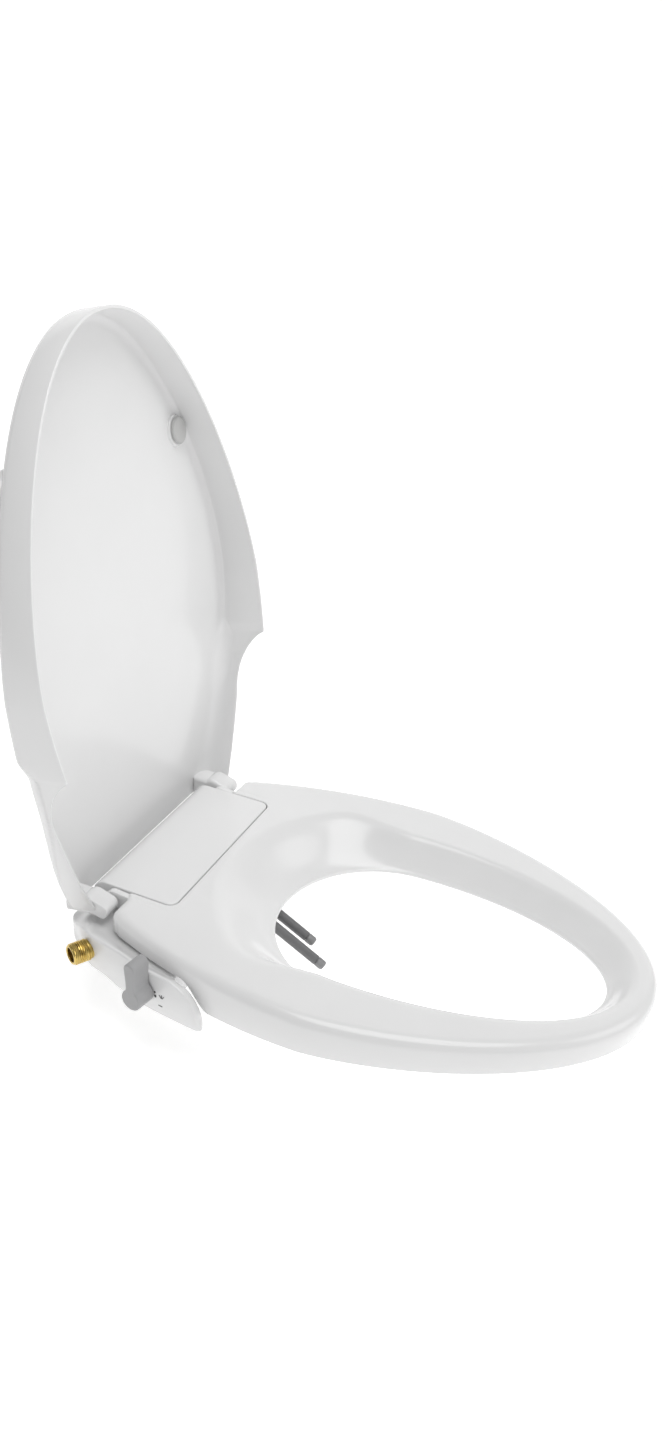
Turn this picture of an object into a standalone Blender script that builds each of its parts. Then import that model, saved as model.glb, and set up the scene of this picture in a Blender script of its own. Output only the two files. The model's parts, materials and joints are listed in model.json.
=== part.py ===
"""Elongated bidet seat: lid, seat ring, base with side control arm, and two water nozzles.

Origin: midway between the two mounting bolts, on the plane of the toilet bowl's rim.
+X is to the side away from the control arm, -Y is towards the seat's nose, +Z is up.
Rest pose: seat down, lid open on its stop, nozzles extended, control lever upright.
"""
import math

import bmesh
import bpy
from mathutils import Matrix, Vector
from mathutils.geometry import delaunay_2d_cdt

MM = 0.001
GAP = 0.3 * MM

# Hinge line, which lid and seat share
HINGE_Y = 2 * MM
HINGE_Z = 47.5 * MM
LID_OPEN = math.radians(99.3)
SHAFT_RADIUS = 4 * MM

# Plan outlines: an elongated oval, widest well forward of the hinge
WIDEST_FROM_NOSE = 257 * MM
HINGE_TO_NOSE = 475 * MM
SEAT_HALF_WIDTH = 185 * MM
SEAT_REAR_HALF_WIDTH = 131 * MM
SEAT_NOSE_Y = -470.5 * MM
SEAT_WING_END_Y = -12 * MM
LID_HALF_WIDTH = 189.2 * MM
LID_REAR_HALF_WIDTH = 136 * MM
LID_NOSE_Y = -476 * MM
LID_REAR_Y = 5 * MM

# Seat heights
SEAT_TOP_NOSE_Z = 34 * MM
SEAT_TOP_SLOPE = 0.0482
SEAT_BOTTOM_Z = 11 * MM
SEAT_WING_BOTTOM_Z = 34.5 * MM
SEAT_NOTCH_BOTTOM_Z = 44 * MM
SEAT_LIP_Z = 14.5 * MM
SEAT_WALL = 3.2 * MM
SEAT_ROUND = 10 * MM

# Seat opening: two half ovals that meet at the widest line
OPENING_HALF_WIDTH = 104.5 * MM
OPENING_WIDEST_Y = -225 * MM
OPENING_FRONT = 206 * MM
OPENING_REAR = 101 * MM

# Hinge cover, which fills the notch between the seat's two wings
COVER_HALF_WIDTH = 103.5 * MM
COVER_FRONT_Y = -57.5 * MM
COVER_REAR_Y = 29 * MM
COVER_BOTTOM_Z = 31.4 * MM
COVER_CORNER = 9 * MM
NOTCH_GAP = 1.1 * MM

# Base
BASE_TOP_Z = 31 * MM
BASE_REAR_TOP_Z = 22 * MM
BASE_WALL = 3 * MM
ARM_CREASE_Z = 38 * MM
ARM_TIP_Y = -128 * MM
ARM_FALL_Y = -88 * MM
ARM_BOTTOM_Z = -4 * MM
HOUSING_BOTTOM_Z = 2 * MM

# Lid
LID_WALL = 2.5 * MM
LID_RIM_HINGE_Z = 7 * MM
LID_RIM_SLOPE = 0.0192
LID_SHOULDER_Y = -154 * MM
LID_SCOOP = 62 * MM
LID_SCOOP_RISE = 35 * MM
LID_TOP_NOSE_Z = 49 * MM
LID_TOP_RISE = 38 * MM
LID_ARCH_Y = -330 * MM
LID_EDGE_ROUND = 11 * MM
LID_WAIST_ROUND = 15 * MM
LID_BUMPER_X = 125.5 * MM
LID_BUMPER_Y = -364 * MM

# Water parts
INLET_ROOT = Vector((-156, 3, 19.8)) * MM
INLET_AXIS = Vector((-0.86, 0.51, 0)).normalized()
INLET_RADIUS = 10.5 * MM
INLET_BORE = 7 * MM
KNOB_ROOT = Vector((-178.6, -70, 17)) * MM
KNOB_AXIS = Vector((-0.985, 0.17, 0)).normalized()
NOZZLE_SLOPE = math.radians(29.5)
NOZZLE_AXIS = Vector((0, -math.cos(NOZZLE_SLOPE), -math.sin(NOZZLE_SLOPE)))
NOZZLE_RADIUS = 5 * MM
NOZZLE_ROOT_Y = -116 * MM
NOZZLE_ROOT_Z = -1.5 * MM
REAR_NOZZLE_X = -17 * MM
FRONT_NOZZLE_X = 1 * MM
REAR_NOZZLE_REACH = 68 * MM
FRONT_NOZZLE_REACH = 47 * MM

BOLT_X = 70 * MM
BOLT_RADIUS = 4 * MM
BOLT_END_Z = -62 * MM

X_AXIS = Vector((1, 0, 0))
Z_AXIS = Vector((0, 0, 1))


def clear_scene():
    for thing in list(bpy.data.objects):
        bpy.data.objects.remove(thing, do_unlink=True)


def finish(name, colour, roughness, metallic=0.0):
    material = bpy.data.materials.new(name)
    material.use_nodes = True
    shader = material.node_tree.nodes["Principled BSDF"]
    shader.inputs["Base Color"].default_value = (*colour, 1.0)
    shader.inputs["Roughness"].default_value = roughness
    shader.inputs["Metallic"].default_value = metallic
    material.diffuse_color = (*colour, 1.0)
    return material


def make_finishes():
    return {
        "white": finish("gloss_white_plastic", (0.90, 0.90, 0.90), 0.22),
        "grey": finish("grey_plastic", (0.36, 0.36, 0.37), 0.45),
        "soft": finish("soft_grey_rubber", (0.52, 0.52, 0.52), 0.70),
        "dark": finish("dark_nozzle_plastic", (0.14, 0.14, 0.145), 0.40),
        "brass": finish("brass", (0.72, 0.50, 0.17), 0.28, 1.0),
        "steel": finish("stainless_steel", (0.62, 0.62, 0.63), 0.30, 1.0),
        "black": finish("black_rubber", (0.03, 0.03, 0.03), 0.65),
        "clear": finish("milky_hose", (0.75, 0.78, 0.80), 0.35),
        "nylon": finish("natural_nylon", (0.80, 0.79, 0.74), 0.45),
    }


# ---------------------------------------------------------------- shapes

def add_object(name, points, faces, material):
    mesh = bpy.data.meshes.new(name)
    mesh.from_pydata([tuple(point) for point in points], [], faces)
    mesh.materials.append(material)
    thing = bpy.data.objects.new(name, mesh)
    bpy.context.scene.collection.objects.link(thing)
    tidy_mesh(mesh)
    return thing


def tidy_mesh(mesh):
    work = bmesh.new()
    work.from_mesh(mesh)
    bmesh.ops.remove_doubles(work, verts=work.verts, dist=0.00001)
    bmesh.ops.recalc_face_normals(work, faces=work.faces)
    work.to_mesh(mesh)
    work.free()
    mesh.shade_smooth()
    mesh.set_sharp_from_angle(angle=math.radians(35))


def prism(name, outline, z_low, z_high, material):
    """Upright solid on a closed plan outline."""
    count = len(outline)
    points = [(x, y, z_low) for x, y in outline] + [(x, y, z_high) for x, y in outline]
    faces = [tuple(range(count)), tuple(range(count, 2 * count))]
    for i in range(count):
        j = (i + 1) % count
        faces.append((i, j, j + count, i + count))
    return add_object(name, points, faces, material)


def cross_prism(name, outline, x_low, x_high, material):
    """Solid whose outline lies in the YZ plane, between two X positions."""
    count = len(outline)
    points = [(x_low, y, z) for y, z in outline] + [(x_high, y, z) for y, z in outline]
    faces = [tuple(range(count)), tuple(range(count, 2 * count))]
    for i in range(count):
        j = (i + 1) % count
        faces.append((i, j, j + count, i + count))
    return add_object(name, points, faces, material)


def block(name, low, high, material):
    corners = [(low[0], low[1]), (high[0], low[1]), (high[0], high[1]), (low[0], high[1])]
    return prism(name, corners, low[2], high[2], material)


def turned(name, profile, start, axis, material, sides=20):
    """Ring-shaped or solid turned piece; profile is a closed list of (radius, distance along axis)."""
    turn = Z_AXIS.rotation_difference(Vector(axis)).to_matrix()
    points = []
    for step in range(sides):
        angle = 2 * math.pi * step / sides
        for radius, along in profile:
            local = Vector((radius * math.cos(angle), radius * math.sin(angle), along))
            points.append(Vector(start) + turn @ local)
    count = len(profile)
    faces = []
    for step in range(sides):
        after = (step + 1) % sides
        for i in range(count):
            j = (i + 1) % count
            if profile[i][0] < 1e-7 and profile[j][0] < 1e-7:
                continue
            faces.append((step * count + i, after * count + i, after * count + j, step * count + j))
    return add_object(name, points, faces, material)


def rod(name, start, axis, length, radius, material, sides=20):
    return turned(name, [(0, 0), (radius, 0), (radius, length), (0, length)], start, axis, material, sides)


def tube(name, start, axis, length, outer, inner, material, sides=20):
    profile = [(inner, 0), (outer, 0), (outer, length), (inner, length)]
    return turned(name, profile, start, axis, material, sides)


def hose(name, route, radius, material):
    """Round hose along a smooth route of points."""
    curve = bpy.data.curves.new(name, "CURVE")
    curve.dimensions = "3D"
    curve.bevel_depth = radius
    curve.bevel_resolution = 2
    curve.use_fill_caps = True
    spline = curve.splines.new("POLY")
    smooth = smooth_route(route, 5)
    spline.points.add(len(smooth) - 1)
    for target, point in zip(spline.points, smooth):
        target.co = (*point, 1.0)
    curve.materials.append(material)
    thing = bpy.data.objects.new(name, curve)
    bpy.context.scene.collection.objects.link(thing)
    return thing


def smooth_route(route, steps):
    """Catmull-Rom curve through the route's points."""
    ends = [route[0] * 2 - route[1]] + route + [route[-1] * 2 - route[-2]]
    result = []
    for i in range(1, len(ends) - 2):
        a, b, c, d = ends[i - 1], ends[i], ends[i + 1], ends[i + 2]
        for step in range(steps):
            t = step / steps
            near = b * 2 + (c - a) * t
            far = (a * 2 - b * 5 + c * 4 - d) * t ** 2 + (b * 3 - a - c * 3 + d) * t ** 3
            result.append((near + far) / 2)
    result.append(route[-1])
    return result


def cut(thing, cutter, operation="DIFFERENCE"):
    modifier = thing.modifiers.new(cutter.name, "BOOLEAN")
    modifier.operation = operation
    modifier.solver = "EXACT"
    modifier.object = cutter
    cutter.hide_render = True
    cutter.display_type = "WIRE"


def join(thing, other):
    cut(thing, other, "UNION")


# ---------------------------------------------------------------- outlines and height fields

def oval_half_width(from_nose, half_width, rear_half_width):
    """Half width of the elongated oval at a distance behind its nose."""
    if from_nose < WIDEST_FROM_NOSE:
        rest = 1 - max(from_nose, 0) / WIDEST_FROM_NOSE
        return half_width * (1 - rest ** 1.49) ** (1 / 2.07)
    back = (from_nose - WIDEST_FROM_NOSE) / (HINGE_TO_NOSE - WIDEST_FROM_NOSE)
    return half_width - (half_width - rear_half_width) * back ** 2


def oval_side(nose_y, rear_y, half_width, rear_half_width, count):
    """Right side of the oval from its nose to its rear line, denser at the nose."""
    side = []
    for i in range(count + 1):
        share = (i / count) ** 1.8
        y = nose_y + (rear_y - nose_y) * share
        side.append((oval_half_width(y - nose_y, half_width, rear_half_width), y))
    return side


def corner_arc(cx, cy, radius, start, end, count):
    arc = []
    for i in range(count + 1):
        angle = math.radians(start + (end - start) * i / count)
        arc.append((cx + radius * math.cos(angle), cy + radius * math.sin(angle)))
    return arc


def mirrored(right_side):
    """Closed outline from a right half that runs from the nose round to the rear centre."""
    left_side = [(-x, y) for x, y in reversed(right_side) if abs(x) > 1e-6]
    return right_side + left_side


def seat_outline(count=26):
    side = oval_side(SEAT_NOSE_Y, SEAT_WING_END_Y - 10 * MM, SEAT_HALF_WIDTH, SEAT_REAR_HALF_WIDTH, count)
    outer_x = side[-1][0]
    side += corner_arc(outer_x - 12 * MM, SEAT_WING_END_Y - 10 * MM, 10 * MM, 15, 90, 3)
    inner_x = COVER_HALF_WIDTH + NOTCH_GAP
    side += corner_arc(inner_x + 5 * MM, SEAT_WING_END_Y - 5 * MM, 5 * MM, 90, 180, 2)
    notch_y = COVER_FRONT_Y - NOTCH_GAP
    radius = COVER_CORNER + NOTCH_GAP
    side += corner_arc(inner_x - radius, notch_y + radius, radius, 0, -90, 3)
    side.append((COVER_HALF_WIDTH / 2, notch_y))
    side.append((0.0, notch_y))
    return mirrored(side)


def opening_outline(count=40):
    outline = []
    for i in range(count):
        angle = 2 * math.pi * i / count
        reach = OPENING_FRONT if math.cos(angle) > 0 else OPENING_REAR
        outline.append((OPENING_HALF_WIDTH * math.sin(angle), OPENING_WIDEST_Y - reach * math.cos(angle)))
    return outline


def loop_distance(point, loop):
    """Shortest distance from a plan point to a closed outline."""
    px, py = point
    best = 1.0
    for i, (ax, ay) in enumerate(loop):
        bx, by = loop[(i + 1) % len(loop)]
        dx, dy = bx - ax, by - ay
        length2 = dx * dx + dy * dy
        share = 0.0 if length2 == 0 else ((px - ax) * dx + (py - ay) * dy) / length2
        share = min(1.0, max(0.0, share))
        best = min(best, math.hypot(px - ax - share * dx, py - ay - share * dy))
    return best


def inside(point, loop):
    px, py = point
    result = False
    for i, (ax, ay) in enumerate(loop):
        bx, by = loop[(i + 1) % len(loop)]
        if (ay > py) != (by > py) and px < (bx - ax) * (py - ay) / (by - ay) + ax:
            result = not result
    return result


def offset_ring(loop, distance, hole=False):
    """Points at a distance inside a closed outline, or outside it where it bounds a hole."""
    ring = []
    count = len(loop)
    for i in range(count):
        ax, ay = loop[i - 1]
        bx, by = loop[(i + 1) % count]
        length = math.hypot(bx - ax, by - ay)
        nx, ny = (by - ay) / length * distance, -(bx - ax) / length * distance
        point = (loop[i][0] + nx, loop[i][1] + ny)
        if inside(point, loop) == hole:
            point = (loop[i][0] - nx, loop[i][1] - ny)
        if inside(point, loop) != hole and loop_distance(point, loop) > 0.93 * distance:
            ring.append(point)
    return ring


def field_shell(name, outline, hole, spots, top, under, material):
    """Closed solid between two height functions over a plan outline with an optional hole."""
    plan = [Vector(point) for point in outline]
    edges = [(i, (i + 1) % len(outline)) for i in range(len(outline))]
    first = len(plan)
    plan += [Vector(point) for point in hole]
    edges += [(first + i, first + (i + 1) % len(hole)) for i in range(len(hole))]
    plan += [Vector(spot) for spot in spots]
    flat, _, triangles, _, _, _ = delaunay_2d_cdt(plan, edges, [], 0, 1e-7)
    kept = []
    for triangle in triangles:
        middle = sum((flat[i] for i in triangle), Vector((0, 0))) / 3
        if inside(middle, outline) and not (hole and inside(middle, hole)):
            kept.append(triangle)
    count = len(flat)
    points = [(x, y, top(x, y)) for x, y in flat] + [(x, y, under(x, y)) for x, y in flat]
    faces = [tuple(t) for t in kept] + [tuple(i + count for i in reversed(t)) for t in kept]
    sides = {}
    for a, b, c in kept:
        for pair in ((a, b), (b, c), (c, a)):
            sides[pair] = sides.get(pair[::-1], 0) + 1
            if pair[::-1] in sides:
                sides[pair] = 0
                sides[pair[::-1]] = 0
    for (a, b), alone in sides.items():
        if alone:
            faces.append((b, a, a + count, b + count))
    return add_object(name, points, faces, material)


def ease(value):
    value = min(1.0, max(0.0, value))
    return value * value * (3 - 2 * value)


def round_drop(distance, radius):
    """How far a quarter-round edge falls at a distance inside the outline."""
    if distance >= radius:
        return 0.0
    return radius - math.sqrt(max(0.0, radius ** 2 - (radius - distance) ** 2))


# ---------------------------------------------------------------- seat

SEAT_EDGE = seat_outline()
OPENING_EDGE = opening_outline()


def seat_plane(y):
    return SEAT_TOP_NOSE_Z + SEAT_TOP_SLOPE * (y - SEAT_NOSE_Y)


def seat_dish_width(y):
    return (22 + 38 * ease((y + 0.215) / 0.09)) * MM


def seat_top(x, y):
    edge = loop_distance((x, y), SEAT_EDGE)
    in_notch = abs(x) < COVER_HALF_WIDTH + 8 * MM and y > COVER_FRONT_Y - 12 * MM
    radius = 1.5 * MM if in_notch else SEAT_ROUND
    height = seat_plane(y) - 0.92 * round_drop(edge, radius)
    dish = 1 - ease(loop_distance((x, y), OPENING_EDGE) / seat_dish_width(y))
    return height - dish * (seat_plane(y) - SEAT_LIP_Z)


def seat_skirt_bottom(x, y):
    if abs(x) < COVER_HALF_WIDTH + 8 * MM and y > COVER_FRONT_Y - 12 * MM:
        return SEAT_NOTCH_BOTTOM_Z
    rise = ease((y + 0.131) / 0.030)
    return SEAT_BOTTOM_Z + rise * (SEAT_WING_BOTTOM_Z - SEAT_BOTTOM_Z)


def seat_under(x, y):
    if loop_distance((x, y), OPENING_EDGE) < 4.5 * MM:
        return SEAT_BOTTOM_Z
    if loop_distance((x, y), SEAT_EDGE) < SEAT_WALL:
        return seat_skirt_bottom(x, y)
    return seat_top(x, y) - SEAT_WALL


def seat_spots():
    spots = []
    for distance in (3.0, 3.6, 9.5, 22):
        spots += offset_ring(SEAT_EDGE, distance * MM)
    for distance in (4.3, 5.0, 13, 22):
        spots += offset_ring(OPENING_EDGE, distance * MM, True)
    for x in (-75, -45, -15, 15, 45, 75):
        for y in (-80, -95, -108):
            spots.append((x * MM, y * MM))
    return [spot for spot in spots if inside(spot, SEAT_EDGE) and not inside(spot, OPENING_EDGE)]


def lug_outline(radius, reach_y, low_z, high_z, sides=12):
    """Round eye on the hinge line that runs forward into the part it belongs to."""
    outline = [(reach_y, low_z), (reach_y, high_z)]
    for i in range(sides + 1):
        angle = math.radians(90 - 180 * i / sides)
        outline.append((HINGE_Y + radius * math.cos(angle), HINGE_Z + radius * math.sin(angle)))
    return outline


def make_seat(finishes):
    white = finishes["white"]
    seat = field_shell("seat_shell", SEAT_EDGE, OPENING_EDGE, seat_spots(), seat_top, seat_under, white)
    for side in (-1, 1):
        outline = lug_outline(8.5 * MM, -30 * MM, 39.5 * MM, 52 * MM)
        low, high = sorted((side * 104.9 * MM, side * 111.3 * MM))
        join(seat, cross_prism(f"seat_lug_guide_{side}", outline, low, high, white))
        start = Vector((side * 103 * MM, HINGE_Y, HINGE_Z))
        hole = 5.6 * MM if side < 0 else SHAFT_RADIUS + GAP
        cut(seat, rod(f"seat_eye_guide_{side}", start, X_AXIS * side, 10 * MM, hole, white))
    make_seat_ring(finishes)
    for name, x, y in (("front_left", -84, -404), ("front_right", 84, -404),
                       ("rear_left", -148, -205), ("rear_right", 148, -205)):
        profile = [(0, 0), (7 * MM, 0), (8.5 * MM, 1.5 * MM), (8.5 * MM, 10.7 * MM), (0, 10.7 * MM)]
        turned(f"seat_bumper_{name}", profile, Vector((x, y, 0)) * MM, Z_AXIS, finishes["soft"], 16)
    start = Vector((98 * MM, HINGE_Y, HINGE_Z))
    rod("seat_shaft", start, X_AXIS, 34 * MM, SHAFT_RADIUS, finishes["steel"])
    start = Vector((-111.2 * MM, HINGE_Y, HINGE_Z))
    tube("seat_bush", start, X_AXIS, 6.2 * MM, 5.3 * MM, SHAFT_RADIUS + 0.1 * MM, finishes["nylon"])


def make_seat_ring(finishes):
    """Flat closing ring under the hollow front and sides of the seat, open at the rear."""
    rear_y = -160 * MM
    nose = (0.0, SEAT_NOSE_Y + SEAT_WALL + 0.6 * MM)
    front = (0.0, OPENING_WIDEST_Y - OPENING_FRONT - 6.5 * MM)
    outer = [p for p in offset_ring(SEAT_EDGE, SEAT_WALL + 0.5 * MM) if p[0] > 0 and p[1] < rear_y]
    outer.sort(key=lambda p: p[1])
    inner = [p for p in offset_ring(OPENING_EDGE, 6.5 * MM, True) if p[0] > 1e-6 and p[1] < rear_y]
    inner.sort(key=lambda p: -p[1])
    outline = mirrored([nose] + outer + inner + [front])
    prism("seat_base_ring", outline, SEAT_BOTTOM_Z, SEAT_BOTTOM_Z + 2 * MM, finishes["white"])


# ---------------------------------------------------------------- base

def base_outline():
    right = [(0, -94), (110, -94), (134, -88), (145, -78), (150, -62), (152, -40), (150, 0),
             (142, 22), (123, 43), (0, 43)]
    left = [(-123, 43), (-142, 22), (-158, 0), (-168, -40), (-177, -65), (-181, -88), (-184, -108),
            (-186, -124), (-183.5, -128), (-179, -127), (-175.8, -112), (-172.8, -99), (-168, -94),
            (-150, -92), (-110, -94)]
    return [(x * MM, y * MM) for x, y in right + left]


BASE_EDGE = base_outline()


def arm_wall_x(y):
    """X of the outer wall on the control side."""
    points = [(-0.128, -0.186), (-0.108, -0.184), (-0.088, -0.181), (-0.065, -0.177), (-0.040, -0.168),
              (0.0, -0.158), (0.022, -0.142), (0.043, -0.123)]
    for (y0, x0), (y1, x1) in zip(points, points[1:]):
        if y <= y1:
            return x0 + (x1 - x0) * (y - y0) / (y1 - y0)
    return points[-1][1]


def arm_crest(y):
    """Height of the control arm's outer crease, which falls in a quarter oval to the tip."""
    if y > ARM_FALL_Y:
        return ARM_CREASE_Z
    share = min(1.0, (ARM_FALL_Y - y) / (ARM_FALL_Y - ARM_TIP_Y))
    return ARM_BOTTOM_Z + 3 * MM + (ARM_CREASE_Z - ARM_BOTTOM_Z - 3 * MM) * math.sqrt(1 - share ** 2)


def base_top(x, y):
    flat = BASE_TOP_Z - (BASE_TOP_Z - BASE_REAR_TOP_Z) * ease((y - 0.018) / 0.022)
    crest = arm_crest(y) - 0.014 * ease((y - 0.005) / 0.035)
    from_wall = max(0.0, x - arm_wall_x(y))
    rise = 1 - ease(from_wall / ((15 + 7 * ease((y + 0.04) / 0.03)) * MM))
    edge = loop_distance((x, y), BASE_EDGE)
    height = min(flat, crest) + max(0.0, crest - flat) * rise
    front = -0.7 * round_drop(max(0.0, y + 94 * MM), 8 * MM) if x > -160 * MM else 0.0
    return height + front - 0.8 * round_drop(edge, 3 * MM)


def base_under(x, y):
    if loop_distance((x, y), BASE_EDGE) < BASE_WALL:
        drop = ease((-0.145 - x) / 0.02) * ease((-0.01 - y) / 0.03)
        return HOUSING_BOTTOM_Z + drop * (ARM_BOTTOM_Z - HOUSING_BOTTOM_Z)
    return base_top(x, y) - BASE_WALL


def base_spots():
    spots = []
    for distance in (1.2, 2.8, 3.4, 9):
        spots += offset_ring(BASE_EDGE, distance * MM)
    for step in range(13):
        y = (36 - 10 * step) * MM
        for inset in (6, 11, 16):
            spots.append((arm_wall_x(y) + inset * MM, y))
    for y in (38, 30, 22, 14):
        for x in (-100, -50, 0, 50, 100):
            spots.append((x * MM, y * MM))
    return [spot for spot in spots if inside(spot, BASE_EDGE)]


def cover_outline():
    side = corner_arc(COVER_HALF_WIDTH - COVER_CORNER, COVER_FRONT_Y + COVER_CORNER, COVER_CORNER, -90, 0, 4)
    side += [(COVER_HALF_WIDTH, -30 * MM), (COVER_HALF_WIDTH, 5 * MM), (COVER_HALF_WIDTH, 20 * MM)]
    side += [(COVER_HALF_WIDTH, COVER_REAR_Y), (0.0, COVER_REAR_Y)]
    return mirrored([(0.0, COVER_FRONT_Y)] + side)


COVER_EDGE = cover_outline()


def cover_top(x, y):
    height = min(seat_plane(y), 57.3 * MM)
    back = max(0.0, y - (COVER_REAR_Y - 14 * MM))
    height -= 0.95 * (14 * MM - math.sqrt(max(0.0, (14 * MM) ** 2 - back ** 2)))
    return height - 0.9 * round_drop(loop_distance((x, y), COVER_EDGE), 1.2 * MM)


def cover_under(x, y):
    if loop_distance((x, y), COVER_EDGE) < 2.2 * MM:
        return COVER_BOTTOM_Z if y < 12 * MM else COVER_BOTTOM_Z - ease((y - 12 * MM) / 0.012) * 0.6 * MM
    return cover_top(x, y) - 2.2 * MM


def make_cover(finishes):
    spots = []
    for distance in (0.5, 1.2, 2.0, 2.5):
        spots += offset_ring(COVER_EDGE, distance * MM)
    for x in (-98, -49, 0, 49, 98):
        for y in (15, 19, 23, 26, -12):
            spots.append((x * MM, y * MM))
    spots = [spot for spot in spots if inside(spot, COVER_EDGE)]
    cover = field_shell("hinge_cover", COVER_EDGE, [], spots, cover_top, cover_under, finishes["white"])
    for side in (-1, 1):
        start = Vector((side * 99 * MM, HINGE_Y, HINGE_Z))
        guide = rod(f"cover_shaft_guide_{side}", start, X_AXIS * side, 8 * MM, 5 * MM, finishes["white"])
        cut(cover, guide)


def arm_hole(name, root, axis, radius, finishes):
    return rod(name, root - axis * 14 * MM, axis, 30 * MM, radius, finishes["white"])


def nozzle_line(x, along):
    root = Vector((x, NOZZLE_ROOT_Y, NOZZLE_ROOT_Z))
    return root + NOZZLE_AXIS * along


def make_base(finishes):
    white = finishes["white"]
    housing = field_shell("base_housing", BASE_EDGE, [], base_spots(), base_top, base_under, white)
    cut(housing, arm_hole("inlet_guide", INLET_ROOT, INLET_AXIS, INLET_RADIUS + GAP, finishes))
    cut(housing, arm_hole("knob_guide", KNOB_ROOT, KNOB_AXIS, 5.5 * MM, finishes))
    for side in (-1, 1):
        start = Vector((side * BOLT_X, 0, 0))
        cut(housing, rod(f"bolt_guide_{side}", start, Z_AXIS, 40 * MM, BOLT_RADIUS + 0.5 * MM, white))
    cut(housing, block("nozzle_bay_guide", (-34 * MM, -125 * MM, -1 * MM), (18 * MM, -47 * MM, 45 * MM), white))
    make_tray(finishes)
    make_cover(finishes)
    make_mounting(finishes)


def make_tray(finishes):
    """Flat tray that closes the housing from below."""
    inner = [p for p in offset_ring(BASE_EDGE, BASE_WALL + 0.5 * MM) if p[1] > -105 * MM and p[0] > -150 * MM]
    front = [p for p in inner if p[1] > -108 * MM]
    tray = prism("base_tray", front, HOUSING_BOTTOM_Z, HOUSING_BOTTOM_Z + 2.4 * MM, finishes["white"])
    for side in (-1, 1):
        start = Vector((side * BOLT_X, 0, -5 * MM))
        cut(tray, rod(f"tray_bolt_guide_{side}", start, Z_AXIS, 20 * MM, BOLT_RADIUS + 0.5 * MM, finishes["white"]))
    bay = block("tray_bay_guide", (-34 * MM, -125 * MM, -1 * MM), (18 * MM, -56 * MM, 45 * MM), finishes["white"])
    cut(tray, bay)
    screws = [(-110, 25), (110, 25), (-130, -60), (125, -75), (-60, -80), (60, -80)]
    for number, (x, y) in enumerate(screws, 1):
        start = Vector((x * MM, y * MM, HOUSING_BOTTOM_Z - GAP))
        profile = [(0, -1.1 * MM), (3 * MM, -1.1 * MM), (3 * MM, 0), (0, 0)]
        turned(f"tray_screw_{number}", profile, start, Z_AXIS, finishes["steel"], 12)


def make_mounting(finishes):
    for name, x in (("left", -100), ("centre", 0), ("right", 100)):
        low = (x * MM - 14 * MM, -16 * MM, 0)
        block(f"base_pad_{name}", low, (x * MM + 14 * MM, 22 * MM, 1.7 * MM), finishes["black"])
    for side, name in ((-1, "left"), (1, "right")):
        x = side * BOLT_X
        head_z = BASE_TOP_Z + GAP
        profile = [(0, head_z + 3.5 * MM), (8 * MM, head_z + 3.5 * MM), (9 * MM, head_z + 2 * MM), (9 * MM, head_z),
                   (BOLT_RADIUS, head_z), (BOLT_RADIUS, BOLT_END_Z), (0, BOLT_END_Z)]
        turned(f"mount_bolt_{name}", profile, (x, 0, 0), Z_AXIS, finishes["nylon"], 16)
        hole = BOLT_RADIUS + GAP
        profile = [(hole, -18 * MM), (17 * MM, -18 * MM), (10 * MM, -34 * MM), (hole, -34 * MM)]
        turned(f"tapered_washer_{name}", profile, (x, 0, 0), Z_AXIS, finishes["black"], 20)
        nut = tube(f"wing_nut_{name}", (x, 0, -46 * MM), Z_AXIS, 11.7 * MM, 8 * MM, hole, finishes["nylon"], 18)
        for wing in (-1, 1):
            low_x, high_x = sorted((x + wing * 6.5 * MM, x + wing * 18 * MM))
            low = (low_x, -1.6 * MM, -50 * MM)
            join(nut, block(f"wing_guide_{name}_{wing}", low, (high_x, 1.6 * MM, -37 * MM), finishes["nylon"]))


# ---------------------------------------------------------------- water path

def make_inlet(finishes):
    start = INLET_ROOT - INLET_AXIS * 12 * MM
    tube("inlet_fitting", start, INLET_AXIS, 30 * MM, INLET_RADIUS, INLET_BORE, finishes["brass"], 24)
    nut = INLET_ROOT - INLET_AXIS * 9.9 * MM
    tube("inlet_nut", nut, INLET_AXIS, 3 * MM, 11.2 * MM, INLET_RADIUS + GAP, finishes["brass"], 24)
    route = [start - INLET_AXIS * 0.5 * MM, start - INLET_AXIS * 9 * MM, Vector((-138, -32, 18)) * MM,
             Vector((-146, -45.2, 17)) * MM]
    hose("supply_hose", route, 4 * MM, finishes["clear"])


def make_valve(finishes):
    start = KNOB_ROOT - KNOB_AXIS * 30 * MM
    tube("valve_body", start, KNOB_AXIS, 24 * MM, 9.5 * MM, 3.1 * MM, finishes["nylon"], 20)
    rod("valve_stem", start + KNOB_AXIS * 2 * MM, KNOB_AXIS, 32 * MM, 2.8 * MM, finishes["brass"], 16)
    make_knob(finishes)


def lever_outline(boss=14 * MM, end=8.5 * MM, reach=30.5 * MM):
    """Side view of the control lever: a round boss with a narrower upright finger."""
    outline = []
    for i in range(21):
        angle = math.radians(142 + 256 * i / 20)
        outline.append((boss * math.cos(angle), boss * math.sin(angle)))
    for i in range(11):
        angle = math.radians(180 * i / 10)
        outline.append((end * math.cos(angle), reach + end * math.sin(angle)))
    return outline


def make_knob(finishes):
    knob = prism("control_knob", lever_outline(), 0.6 * MM, 20 * MM, finishes["grey"])
    cut(knob, rod("stem_guide", (0, 0, -2 * MM), Z_AXIS, 9 * MM, 3.1 * MM, finishes["grey"], 16))
    across = Z_AXIS.cross(KNOB_AXIS)
    turn = Matrix((across, Z_AXIS, KNOB_AXIS)).transposed()
    for thing in [knob] + [bpy.data.objects["stem_guide"]]:
        thing.matrix_world = Matrix.Translation(KNOB_ROOT) @ turn.to_4x4()


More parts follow.
